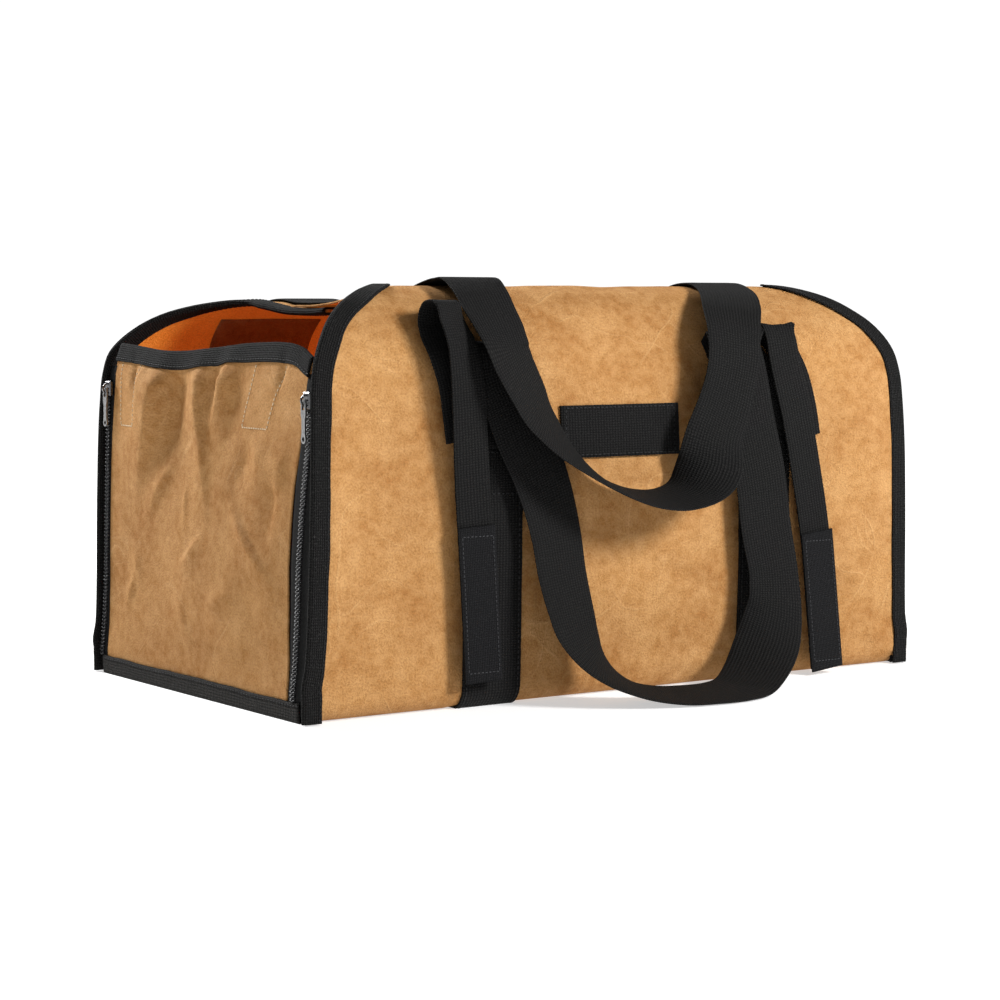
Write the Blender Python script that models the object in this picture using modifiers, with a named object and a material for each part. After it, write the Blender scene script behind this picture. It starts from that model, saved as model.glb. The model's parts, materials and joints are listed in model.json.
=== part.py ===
"""Canvas log carrier: a wrapped canvas body, zip-in end panels and webbing handles.

X runs along the carrier, the front wall faces -Y, Z is up and z = 0 is the floor.
The origin is the middle of the bottom. All sizes are in metres.
"""

import math

import bmesh
import bpy
from mathutils import Vector

# Driving dimensions
HALF_LENGTH = 0.283
CANVAS = 0.002
WEBBING = 0.0018
TAPE = 0.0012
GAP = 0.0004
WEB_WIDE = 0.050
WEB_NARROW = 0.030
BINDING = 0.0125
BINDING_FOOT = 0.0006
STRAP_X = 0.1275
STRAP_LIFT = 0.0022
SEWN_TOP = 0.185

# One long wall, from the middle of the bottom up to its shoulder.
# out: distance from the middle plane; up: height
# inset: how far each end edge lies inside HALF_LENGTH
WALL = [
    dict(out=0.0000, up=0.0010, inset=0.0085),
    dict(out=0.1420, up=0.0010, inset=0.0085),
    dict(out=0.1520, up=0.0012, inset=0.0085),
    dict(out=0.1590, up=0.0042, inset=0.0150),
    dict(out=0.1640, up=0.0110, inset=0.0150),
    dict(out=0.1645, up=0.0200, inset=0.0010),
    dict(out=0.1650, up=0.0400, inset=0.0032),
    dict(out=0.1660, up=0.0750, inset=0.0050),
    dict(out=0.1668, up=0.1100, inset=0.0060),
    dict(out=0.1670, up=0.1500, inset=0.0070),
    dict(out=0.1665, up=SEWN_TOP, inset=0.0080),
    dict(out=0.1650, up=0.2150, inset=0.0092),
    dict(out=0.1630, up=0.2380, inset=0.0110),
    dict(out=0.1600, up=0.2540, inset=0.0150),
    dict(out=0.1540, up=0.2680, inset=0.0230),
    dict(out=0.1440, up=0.2820, inset=0.0360),
    dict(out=0.1330, up=0.2930, inset=0.0530),
    dict(out=0.1210, up=0.3005, inset=0.0720),
    dict(out=0.1090, up=0.3040, inset=0.0880),
    dict(out=0.0960, up=0.3050, inset=0.1000),
]
WALL_FOOT = 5
# The back shoulder is lower than the front one, and the flaps sag between them.
SHOULDER_FROM = 0.250
BACK_SHOULDER = 0.782
FRONT_FLAP = [
    dict(y=-0.070, up=0.2985, inset=0.1010),
    dict(y=-0.036, up=0.2928, inset=0.1020),
    dict(y=0.000, up=0.2908, inset=0.1020),
    dict(y=0.026, up=0.2905, inset=0.1020),
]
BACK_FLAP = [
    dict(y=0.070, up=0.2900, inset=0.1010),
    dict(y=0.040, up=0.2870, inset=0.1020),
    dict(y=0.010, up=0.2860, inset=0.1020),
    dict(y=-0.026, up=0.2870, inset=0.1020),
]
# Columns of the canvas, from the middle to an end. Those past FIXED_X draw in with the inset.
STATIONS = [0.0, 0.050, 0.0975, 0.1025, 0.1525, 0.1575, 0.200, 0.243, HALF_LENGTH]
FIXED_X = 0.1575
# Soft dents and swells of the front wall: middle, radii and depth, positive outwards
DENTS = [
    dict(x=-0.215, z=0.150, rx=0.045, rz=0.080, depth=-0.0035),
    dict(x=0.000, z=0.090, rx=0.080, rz=0.070, depth=0.0040),
    dict(x=0.035, z=0.262, rx=0.090, rz=0.030, depth=-0.0030),
    dict(x=0.225, z=0.170, rx=0.040, rz=0.090, depth=0.0030),
    dict(x=-0.230, z=0.060, rx=0.050, rz=0.050, depth=0.0020),
]

# End panels
PANEL_INSET = 0.004
PANEL_TOP = 0.258
PANEL_FOOT = 0.0018
PANEL_ROWS = [0.016, 0.040, 0.070, 0.100, 0.130, 0.155, 0.176, 0.194, 0.210, 0.224, 0.2355, 0.2445]
PANEL_COLUMNS = 26
TAPE_CLEAR = 0.0034
# How far the canvas panel reaches towards each long wall; the zip tape fills the rest
PANEL_SIDE = [
    dict(up=0.0000, front=0.1335, back=0.1490),
    dict(up=0.0300, front=0.1330, back=0.1490),
    dict(up=0.0650, front=0.1300, back=0.1485),
    dict(up=0.1080, front=0.1285, back=0.1480),
    dict(up=0.1400, front=0.1305, back=0.1480),
    dict(up=0.1650, front=0.1340, back=0.1485),
    dict(up=0.1900, front=0.1405, back=0.1490),
    dict(up=0.2150, front=0.1460, back=0.1495),
    dict(up=0.2320, front=0.1485, back=0.1500),
    dict(up=0.2450, front=0.1500, back=0.1505),
    dict(up=0.2600, front=0.1505, back=0.1505),
]
# Where each zip's chain runs: its distance from the middle plane by height
CHAIN_LINE = [
    dict(up=0.0145, front=0.1450, back=0.1565),
    dict(up=0.1080, front=0.1462, back=0.1565),
    dict(up=0.1400, front=0.1490, back=0.1565),
    dict(up=0.1650, front=0.1520, back=0.1565),
    dict(up=0.1900, front=0.1560, back=0.1568),
    dict(up=0.2185, front=0.1572, back=0.1572),
]
BINDING_REACH = dict(top=0.1505, bottom=0.1540)
# Gathers of the end panel: where each starts and ends, half width and depth, positive outwards
FOLDS = [
    dict(y_top=0.016, y_low=0.010, z_top=0.248, z_low=0.170, width=0.010, depth=0.0035),
    dict(y_top=-0.010, y_low=-0.004, z_top=0.248, z_low=0.180, width=0.009, depth=0.0035),
    dict(y_top=-0.034, y_low=-0.012, z_top=0.244, z_low=0.150, width=0.013, depth=-0.0055),
    dict(y_top=0.045, y_low=0.050, z_top=0.235, z_low=0.140, width=0.024, depth=-0.0065),
    dict(y_top=0.078, y_low=0.123, z_top=0.236, z_low=0.110, width=0.015, depth=0.0060),
    dict(y_top=0.110, y_low=0.100, z_top=0.240, z_low=0.150, width=0.012, depth=-0.0040),
    dict(y_top=-0.080, y_low=-0.070, z_top=0.240, z_low=0.120, width=0.018, depth=0.0030),
    dict(y_top=-0.105, y_low=-0.100, z_top=0.248, z_low=0.200, width=0.009, depth=-0.0030),
]
BELLY = dict(y=-0.030, z=0.090, ry=0.085, rz=0.070, depth=0.0090)

# Zips
CHAIN_WIDTH = 0.0060
CHAIN_THICK = 0.0024
CHAIN_FOOT = 0.0145
CHAIN_TOP = 0.2185
SLIDER = dict(wide=0.0090, tall=0.0120, thick=0.0034, z=0.2255)
SLIDER_Y = 0.1552
ARCH = dict(reach=0.0046, foot=0.0040, wire=0.0006)
PULL = dict(wide=0.0064, long=0.0300, thick=0.0012, bar=0.0012)
PULL.update(window=0.0060, inside=0.0036, hole=0.0018)
PULL_OUT = 0.0016

# Free webbing: rows of x, y, z, plan and tilt along the middle of each band. plan turns its width
# from +X towards the back wall and tilt lifts the far edge, both in degrees.
FRONT_HANDLE = [
    (-0.1265, -0.1687, 0.1880, 0, 0),
    (-0.1265, -0.1690, 0.1960, 0, 0),
    (-0.1265, -0.1700, 0.2130, 0, 0),
    (-0.1262, -0.1692, 0.2400, 0, 0),
    (-0.1258, -0.1668, 0.2545, 0, 0),
    (-0.1265, -0.1700, 0.2650, 0, 0),
    (-0.1272, -0.1756, 0.2580, 0, 0),
    (-0.1243, -0.1768, 0.2407, 0, 0),
    (-0.1165, -0.1772, 0.2240, 0, 0),
    (-0.1076, -0.1774, 0.2014, 2, 0),
    (-0.0939, -0.1778, 0.1734, 4, 0),
    (-0.0846, -0.1788, 0.1476, 6, 0),
    (-0.0796, -0.1810, 0.1240, 8, 0),
    (-0.0770, -0.1850, 0.0960, 10, 0),
    (-0.0732, -0.1900, 0.0710, 13, 0),
    (-0.0705, -0.1950, 0.0538, 17, 0),
    (-0.0640, -0.2020, 0.0370, 28, 0),
    (-0.0510, -0.2100, 0.0215, 46, 4),
    (-0.0330, -0.2185, 0.0110, 64, 6),
    (-0.0100, -0.2260, 0.0060, 79, 8),
    (0.0160, -0.2310, 0.0050, 90, 8),
    (0.0400, -0.2310, 0.0050, 99, 8),
    (0.0630, -0.2240, 0.0065, 111, 8),
    (0.0830, -0.2130, 0.0140, 128, 6),
    (0.1000, -0.2030, 0.0260, 147, 4),
    (0.1140, -0.1950, 0.0410, 164, 0),
    (0.1225, -0.1895, 0.0580, 174, 0),
    (0.1250, -0.1855, 0.0800, 180, 0),
    (0.1193, -0.1820, 0.1219, 180, 0),
    (0.1156, -0.1800, 0.1568, 180, 0),
    (0.1038, -0.1784, 0.2072, 180, 0),
    (0.0972, -0.1768, 0.2417, 180, 0),
    (0.0948, -0.1746, 0.2560, 180, 0),
    (0.0955, -0.1690, 0.2680, 180, 0),
    (0.1000, -0.1645, 0.2600, 180, 0),
    (0.1090, -0.1674, 0.2430, 180, 0),
    (0.1200, -0.1686, 0.2180, 180, 0),
    (0.1270, -0.1690, 0.1960, 180, 0),
    (0.1275, -0.1687, 0.1880, 180, 0),
]
# How the back handle climbs the back wall, from the sewn strap to the shoulder
BACK_CLIMB = [
    dict(y=0.1687, z=0.1880),
    dict(y=0.1684, z=0.2130),
    dict(y=0.1664, z=0.2400),
    dict(y=0.1634, z=0.2545),
    dict(y=0.1580, z=0.2660),
    dict(y=0.1482, z=0.2784),
    dict(y=0.1365, z=0.2868),
    dict(y=0.1220, z=0.2926),
    dict(y=0.0960, z=0.2957),
    dict(y=0.0700, z=0.2934),
]
BACK_HANDLE = [(-STRAP_X, row["y"], row["z"], 0, 0) for row in BACK_CLIMB] + [
    (-0.1250, 0.0300, 0.2932, 0, 0),
    (-0.1210, 0.0000, 0.2938, 0, 0),
    (-0.1180, -0.0360, 0.2956, 0, 0),
    (-0.1165, -0.0700, 0.3014, 0, 0),
    (-0.1170, -0.0960, 0.3078, 0, 0),
    (-0.1190, -0.1150, 0.3105, 0, 0),
    (-0.1205, -0.1290, 0.3105, 0, 0),
    (-0.1220, -0.1430, 0.3030, 4, 0),
    (-0.1240, -0.1600, 0.2880, 8, 0),
    (-0.1265, -0.1760, 0.2740, 13, 0),
    (-0.1265, -0.1865, 0.2610, 18, 0),
    (-0.1215, -0.1890, 0.2480, 21, 0),
    (-0.1130, -0.1905, 0.2320, 24, 0),
    (-0.1030, -0.1920, 0.2140, 28, 0),
    (-0.0890, -0.1940, 0.1970, 36, 2),
    (-0.0665, -0.1965, 0.1765, 54, 6),
    (-0.0380, -0.1985, 0.1580, 78, 12),
    (-0.0080, -0.1995, 0.1485, 88, 14),
    (0.0150, -0.1995, 0.1475, 94, 14),
    (0.0360, -0.1985, 0.1535, 112, 12),
    (0.0500, -0.1965, 0.1680, 144, 6),
    (0.0590, -0.1920, 0.1900, 172, 0),
    (0.0760, -0.1875, 0.2240, 180, 0),
    (0.0840, -0.1855, 0.2540, 180, 0),
    (0.0875, -0.1800, 0.2715, 180, 0),
    (0.0950, -0.1680, 0.2850, 180, 0),
    (0.1080, -0.1500, 0.2965, 180, 0),
    (0.1190, -0.1290, 0.3040, 180, 0),
    (0.1230, -0.1120, 0.3078, 180, 0),
    (0.1238, -0.0950, 0.3076, 180, 0),
    (0.1245, -0.0760, 0.3038, 180, 0),
    (0.1250, -0.0500, 0.2980, 180, 0),
    (0.1265, 0.0000, 0.2938, 180, 0),
    (0.1272, 0.0300, 0.2932, 180, 0),
] + [(STRAP_X, row["y"], row["z"], 180, 0) for row in reversed(BACK_CLIMB)]
CLOSURE_LEFT = [
    (-0.1550, -0.1722, 0.1950, 0, 0),
    (-0.1580, -0.1724, 0.2150, 0, 0),
    (-0.1625, -0.1722, 0.2400, 0, 0),
    (-0.1672, -0.1690, 0.2560, 0, 0),
    (-0.1680, -0.1590, 0.2700, 0, 0),
    (-0.1672, -0.1535, 0.2830, 6, 0),
    (-0.1660, -0.1555, 0.2935, 16, 0),
    (-0.1650, -0.1635, 0.2935, 24, 0),
    (-0.1640, -0.1730, 0.2790, 22, 0),
    (-0.1610, -0.1795, 0.2640, 14, 0),
    (-0.1585, -0.1817, 0.2450, 7, 0),
    (-0.1562, -0.1812, 0.2200, 4, 0),
    (-0.1542, -0.1800, 0.1980, 2, 0),
    (-0.1510, -0.1775, 0.1630, 0, 0),
    (-0.1480, -0.1764, 0.1300, 0, 0),
    (-0.1447, -0.1764, 0.0760, 0, 0),
    (-0.1420, -0.1764, 0.0230, 0, 0),
]
CLOSURE_RIGHT = [
    (0.1700, -0.1696, 0.1880, 0, 0),
    (0.1655, -0.1689, 0.2130, 0, 0),
    (0.1580, -0.1662, 0.2400, 0, 0),
    (0.1510, -0.1620, 0.2570, 0, 0),
    (0.1460, -0.1600, 0.2680, 0, 0),
    (0.1415, -0.1665, 0.2755, 0, 0),
    (0.1395, -0.1735, 0.2680, 0, 0),
    (0.1420, -0.1758, 0.2500, 0, 0),
    (0.1535, -0.1764, 0.2100, 0, 0),
    (0.1625, -0.1768, 0.1700, 0, 0),
    (0.1735, -0.1770, 0.1140, 0, 0),
    (0.1800, -0.1770, 0.0600, 0, 0),
    (0.1860, -0.1770, 0.0065, 0, 0),
]
HOOK_LEFT = [
    (-0.1483, -0.1788, 0.1335, 0, 0),
    (-0.1448, -0.1788, 0.0760, 0, 0),
    (-0.1418, -0.1788, 0.0210, 0, 0),
]
HOOK_RIGHT = [
    (0.1738, -0.1794, 0.1140, 0, 0),
    (0.1800, -0.1794, 0.0600, 0, 0),
    (0.1862, -0.1794, 0.0045, 0, 0),
]
HOOK_WIDTH = 0.0320
PATCH_X = (-0.066, 0.043)
PATCH_Z = (0.179, 0.2175)
INNER_PATCH_X = (-0.1825, -0.1520, -0.1210, -0.0905)
INNER_PATCH_Z = (0.172, 0.274)
INNER_PATCH = 0.0012

FINISHES = {
    "canvas": dict(colour=(0.55, 0.31, 0.13, 1.0), roughness=0.75, metallic=0.0),
    "webbing": dict(colour=(0.012, 0.012, 0.013, 1.0), roughness=0.8, metallic=0.0),
    "tape": dict(colour=(0.010, 0.010, 0.010, 1.0), roughness=0.85, metallic=0.0),
    "chain": dict(colour=(0.015, 0.015, 0.016, 1.0), roughness=0.5, metallic=0.0),
    "hook": dict(colour=(0.020, 0.020, 0.022, 1.0), roughness=0.9, metallic=0.0),
    "steel": dict(colour=(0.62, 0.62, 0.64, 1.0), roughness=0.3, metallic=1.0),
    "leather": dict(colour=(0.10, 0.035, 0.015, 1.0), roughness=0.6, metallic=0.0),
}


def finish(name, kind):
    """One material of its own for the object called name."""
    values = FINISHES[kind]
    material = bpy.data.materials.new(name + "_" + kind)
    material.use_nodes = True
    shader = material.node_tree.nodes["Principled BSDF"]
    shader.inputs["Base Color"].default_value = values["colour"]
    shader.inputs["Roughness"].default_value = values["roughness"]
    shader.inputs["Metallic"].default_value = values["metallic"]
    return material


def add_object(name, data, finish_name, parts):
    """Link a new object with its own material."""
    obj = bpy.data.objects.new(name, data)
    parts.objects.link(obj)
    data.materials.append(finish(name, finish_name))
    return obj


def between(table, key, at, value):
    """The column value of a table at a height, worked out between its rows."""
    for low, high in zip(table, table[1:]):
        if at <= high[key]:
            share = (at - low[key]) / (high[key] - low[key])
            return low[value] + max(share, 0.0) * (high[value] - low[value])
    return table[-1][value]


def wrap_rows():
    """The canvas section (y, z, inset) from the back flap's edge round to the front flap's."""
    rows = [(row["y"], row["up"], row["inset"]) for row in reversed(BACK_FLAP)]
    for row in reversed(WALL):
        up = row["up"]
        if up > SHOULDER_FROM:
            up = SHOULDER_FROM + (up - SHOULDER_FROM) * BACK_SHOULDER
        rows.append((row["out"], up, row["inset"]))
    rows += [(-row["out"], row["up"], row["inset"]) for row in WALL[1:]]
    rows += [(row["y"], row["up"], row["inset"]) for row in FRONT_FLAP]
    return rows


ROWS = wrap_rows()
BOTTOM_ROW = len(BACK_FLAP) + len(WALL) - 1


def row_normal(index):
    """Outward direction of the canvas at a row, across its section."""
    before = ROWS[max(index - 1, 0)]
    after = ROWS[min(index + 1, len(ROWS) - 1)]
    here = ROWS[index]
    first = Vector((here[0] - before[0], here[1] - before[1]))
    second = Vector((after[0] - here[0], after[1] - here[1]))
    along = Vector((0.0, 0.0))
    for part in (first, second):
        if part.length > 0.0:
            along += part.normalized()
    along.normalize()
    return Vector((0.0, -along.y, along.x))


def dent(x, row):
    """How far the front wall swells out at a place."""
    y, z, _ = row
    if y > -0.1 or z < 0.02:
        return 0.0
    total = 0.0
    for item in DENTS:
        far = ((x - item["x"]) / item["rx"]) ** 2 + ((z - item["z"]) / item["rz"]) ** 2
        total += item["depth"] * math.exp(-far)
    return total * min(1.0, max(0.0, (HALF_LENGTH - abs(x)) / 0.030 - 1.0))


def station_dent(x, row):
    """The dent between the canvas columns, straight from one column to the next."""
    size = abs(x)
    for low, high in zip(STATIONS, STATIONS[1:]):
        if size <= high:
            share = (size - low) / (high - low)
            sign = math.copysign(1.0, x)
            return dent(sign * low, row) * (1.0 - share) + dent(sign * high, row) * share
    return dent(x, row)


def lift(x, row):
    """The bottom rises where a strap runs under it."""
    y, z, _ = row
    if z > 0.0015 or abs(y) > 0.1525:
        return 0.0
    inside = 0.1025 <= round(abs(x), 5) <= 0.1525
    return STRAP_LIFT if inside else 0.0


def column_x(station, inset):
    """The place of a canvas column at a row."""
    if abs(station) <= FIXED_X:
        return station
    share = (abs(station) - FIXED_X) / (HALF_LENGTH - FIXED_X)
    return math.copysign(FIXED_X + share * (HALF_LENGTH - inset - FIXED_X), station)


def skin(index, x, away=0.0, station=None):
    """A point at a distance outside the middle of the canvas."""
    row = ROWS[index]
    swell = station_dent(station if station is not None else x, row)
    point = Vector((x, row[0], row[1] + lift(x, row)))
    return point + row_normal(index) * (away + swell)


def wall_skin(z, x, away, back=False):
    """A point at a height on a long wall, on the straight line between two canvas rows."""
    span = range(BOTTOM_ROW, len(ROWS) - len(FRONT_FLAP) - 1)
    if back:
        span = range(BOTTOM_ROW - 1, len(BACK_FLAP), -1)
    for index in span:
        other = index + (-1 if back else 1)
        if ROWS[index][1] <= z <= ROWS[other][1]:
            share = (z - ROWS[index][1]) / (ROWS[other][1] - ROWS[index][1])
            return skin(index, x, away).lerp(skin(other, x, away), share)
    raise ValueError("no canvas row at this height")


def sheet(name, lines, thickness, finish_name, parts):
    """A cloth sheet through lines of points, thickened to both sides."""
    mesh = bpy.data.meshes.new(name)
    bm = bmesh.new()
    grid = [[bm.verts.new(point) for point in line] for line in lines]
    for low, high in zip(grid, grid[1:]):
        for a, b, c, d in zip(low, low[1:], high[1:], high):
            bm.faces.new((a, b, c, d))
    bmesh.ops.recalc_face_normals(bm, faces=bm.faces)
    bm.to_mesh(mesh)
    bm.free()
    mesh.shade_smooth()
    obj = add_object(name, mesh, finish_name, parts)
    solid = obj.modifiers.new("thickness", "SOLIDIFY")
    solid.thickness = thickness
    solid.offset = 0.0
    solid.use_even_offset = True
    return obj


def loft(name, rings, finish_name, parts, cap):
    """A closed solid through rings of points; cap lists the four-sided pieces of each end."""
    mesh = bpy.data.meshes.new(name)
    bm = bmesh.new()
    loops = [[bm.verts.new(point) for point in ring] for ring in rings]
    count = len(rings[0])
    for low, high in zip(loops, loops[1:]):
        for i in range(count):
            j = (i + 1) % count
            bm.faces.new((low[i], low[j], high[j], high[i]))
    for corners in cap:
        bm.faces.new([loops[0][i] for i in reversed(corners)])
        bm.faces.new([loops[-1][i] for i in corners])
    bmesh.ops.recalc_face_normals(bm, faces=bm.faces)
    bm.to_mesh(mesh)
    bm.free()
    return add_object(name, mesh, finish_name, parts)


def folded_tape(name, path, normals, inwards, parts, slot=CANVAS):
    """Tape folded over an edge: a channel along path whose legs lie on both sides of the cloth."""
    inner = slot / 2 + GAP
    outer = inner + TAPE
    back = GAP + TAPE
    section = [
        (BINDING, outer),
        (-back, outer),
        (-back, -outer),
        (BINDING, -outer),
        (BINDING, -inner),
        (-GAP, -inner),
        (-GAP, inner),
        (BINDING, inner),
    ]
    rings = []
    for point, normal, inward in zip(path, normals, inwards):
        rings.append([point + inward * a + normal * b for a, b in section])
    return loft(name, rings, "tape", parts, [(0, 1, 6, 7), (1, 2, 5, 6), (2, 3, 4, 5)])


def smooth_path(table, steps=2):
    """Points between the rows of a band table, on a smooth curve through them."""
    rows = [list(row) for row in table]
    out = []
    for i in range(len(rows) - 1):
        p0 = rows[max(i - 1, 0)]
        p1 = rows[i]
        p2 = rows[i + 1]
        p3 = rows[min(i + 2, len(rows) - 1)]
        for step in range(steps):
            t = step / steps
            out.append([catmull(a, b, c, d, t) for a, b, c, d in zip(p0, p1, p2, p3)])
    out.append(rows[-1])
    return out


def catmull(a, b, c, d, t):
    """A Catmull-Rom value between b and c."""
    square = (2 * a - 5 * b + 4 * c - d) * t**2
    cube = (3 * b - a - 3 * c + d) * t**3
    return 0.5 * (2 * b + (c - a) * t + square + cube)


def band(name, table, width, thickness, finish_name, parts, steps=2):
    """A webbing band along a table of places and turns."""
    path = smooth_path(table, steps)
    points = [Vector(row[:3]) for row in path]
    lines = []
    for i, row in enumerate(path):
        along = points[min(i + 1, len(points) - 1)] - points[max(i - 1, 0)]
        along.normalize()
        plan = math.radians(row[3])
        tilt = math.radians(row[4])
        level = math.cos(tilt)
        across = Vector((math.cos(plan) * level, math.sin(plan) * level, math.sin(tilt)))
        across -= along * across.dot(along)
        across.normalize()
        lines.append([points[i] + across * width * share for share in (-0.5, 0.0, 0.5)])
    return sheet(name, lines, thickness, finish_name, parts)


def canvas_body(parts):
    """The wrapped canvas with its two top flaps."""
    stations = [-s for s in reversed(STATIONS[1:])] + STATIONS
    lines = []
    for index, row in enumerate(ROWS):
        lines.append([skin(index, column_x(s, row[2]), 0.0, s) for s in stations])
    sheet("canvas_body", lines, CANVAS, "canvas", parts)


def sewn_straps(parts):
    """Webbing sewn up the front, under the bottom and up the back."""
    away = CANVAS / 2 + GAP + WEBBING / 2
    rows = [i for i, row in enumerate(ROWS) if row[1] <= SEWN_TOP + 1e-6]
    for side, name in ((-1, "strap_left"), (1, "strap_right")):
        columns = [side * (STRAP_X + share * WEB_WIDE) for share in (-0.5, 0.0, 0.5)]
        lines = [[skin(i, x, away) for x in columns] for i in rows]
        sheet(name, lines, WEBBING, "webbing", parts)


def edge_bindings(parts):
    """Tape over the end edges of each long wall and its sloping corner, and of the back flap."""
    for side, end in ((-1, "left"), (1, "right")):
        for face in ("front", "back"):
            if face == "front":
                rows = range(BOTTOM_ROW + WALL_FOOT, len(ROWS) - len(FRONT_FLAP))
                wall = -1
            else:
                rows = range(BOTTOM_ROW - WALL_FOOT, -1, -1)
                wall = 1
            foot = WALL[WALL_FOOT]
            foot_x = side * (HALF_LENGTH - foot["inset"])
            turn = WALL[WALL_FOOT - 1]
            path = [Vector((foot_x, wall * turn["out"], z)) for z in (BINDING_FOOT, turn["up"])]
            normals = [Vector((0, wall, 0))] * 2
            for i in rows:
                path.append(skin(i, side * (HALF_LENGTH - ROWS[i][2]), 0.0, side * HALF_LENGTH))
                normals.append(row_normal(i))
            inwards = []
            for k in range(len(path)):
                along = path[min(k + 1, len(path) - 1)] - path[max(k - 1, 0)]
                slope = max(math.sqrt(along.y**2 + along.z**2) / along.length, 0.5)
                inwards.append(Vector((-side / slope, 0, 0)))
            folded_tape(f"edge_binding_{end}_{face}", path, normals, inwards, parts)


def panel_base(z):
    """How far out an end wall stands at a height, before its gathers."""
    upper = WALL[WALL_FOOT:]
    return HALF_LENGTH - PANEL_INSET - (between(upper, "up", z, "inset") - upper[0]["inset"])


def panel_reach(face_name, z):
    """How far the panel's canvas reaches towards a long wall."""
    return between(PANEL_SIDE, "up", z, face_name)


def panel_x(side, y, z):
    """Where the middle of an end panel lies."""
    base = panel_base(z)
    half = panel_reach("back" if y > 0.0 else "front", z)
    share = max(0.0, 1.0 - (abs(y) / half) ** 6)
    calm = min(1.0, max(0.0, (z - 0.016) / 0.03)) * min(1.0, max(0.0, (0.2445 - z) / 0.020))
    far = ((y - BELLY["y"]) / BELLY["ry"]) ** 2 + ((z - BELLY["z"]) / BELLY["rz"]) ** 2
    out = BELLY["depth"] * math.exp(-far)
    for fold in FOLDS:
        t = (fold["z_top"] - z) / (fold["z_top"] - fold["z_low"])
        if t < 0.0:
            fade = math.exp(-((t * 3.0) ** 2))
        else:
            fade = max(0.0, 1.0 - t) ** 0.7
        place = fold["y_top"] + (fold["y_low"] - fold["y_top"]) * min(max(t, 0.0), 1.2)
        out += fold["depth"] * fade * math.exp(-(((y - place) / fold["width"]) ** 2))
    return side * (base + out * share * calm)


def end_panels(parts):
    """The canvas end walls with their gathers, and the tape over their top and bottom edges."""
    heights = [PANEL_FOOT] + PANEL_ROWS + [PANEL_TOP]
    for side, end in ((-1, "left"), (1, "right")):
        lines = []
        for z in heights:
            first = -panel_reach("front", z)
            wide = panel_reach("back", z) - first
            ys = [first + wide * k / PANEL_COLUMNS for k in range(PANEL_COLUMNS + 1)]
            lines.append([Vector((panel_x(side, y, z), y, z)) for y in ys])
        sheet(f"end_panel_{end}", lines, CANVAS, "canvas", parts)
        for edge, z, other in (("top", heights[-1], heights[-2]), ("bottom", heights[0], heights[1])):
            start = Vector((panel_x(side, 0.0, z), 0.0, z))
            inward = (Vector((panel_x(side, 0.0, other), 0.0, other)) - start).normalized()
            lean = -side * inward.x * math.copysign(1.0, inward.z)
            normal = Vector((side * abs(inward.z), 0.0, lean))
            reach = BINDING_REACH[edge]
            path = [start + Vector((0.0, reach * (k / 3 - 1), 0.0)) for k in range(7)]
            folded_tape(f"panel_{edge}_binding_{end}", path, [normal] * 7, [inward] * 7, parts)


def tape_x(side, z):
    """Where the middle of a zip tape lies."""
    return side * panel_base(z)


def tape_side(z):
    """The edge of a zip tape beside the wall's binding."""
    return between(WALL[WALL_FOOT:], "up", z, "out") - TAPE_CLEAR


def zips(parts):
    """Tape, chain, slider and pull at each side of each end."""
    tape_heights = [0.005, 0.030, 0.065, 0.108, 0.140, 0.165, 0.190, 0.215, 0.232, 0.2435]
    chain_heights = [CHAIN_FOOT, 0.030, 0.065, 0.108, 0.140, 0.165, 0.190, 0.205, CHAIN_TOP]
    for side, end in ((-1, "left"), (1, "right")):
        for face, face_name in ((-1, "front"), (1, "back")):
            tag = f"{end}_{face_name}"
            lines = []
            for z in tape_heights:
                near = panel_reach(face_name, z) + 0.0008
                ys = (near, tape_side(z))
                lines.append([Vector((tape_x(side, z), face * y, z)) for y in ys])
            sheet(f"zip_tape_{tag}", lines, 0.0010, "tape", parts)
            out = 0.0005 + GAP + CHAIN_THICK / 2
            lines = []
            for z in chain_heights:
                middle = between(CHAIN_LINE, "up", z, face_name)
                ys = [middle + share * CHAIN_WIDTH for share in (-0.5, 0.5)]
                lines.append([Vector((tape_x(side, z) + side * out, face * y, z)) for y in ys])
            sheet(f"zip_chain_{tag}", lines, CHAIN_THICK, "chain", parts)
            zip_slider(side, face * SLIDER_Y, tag, parts)


def slider_face(side):
    """The outer face of a slider."""
    return tape_x(side, SLIDER["z"]) + side * (0.0005 + GAP + 0.0006 + SLIDER["thick"])


def pull_axis(side, y):
    """The line that a pull swings about."""
    return Vector((slider_face(side) + side * PULL_OUT, y, SLIDER["z"]))


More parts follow.
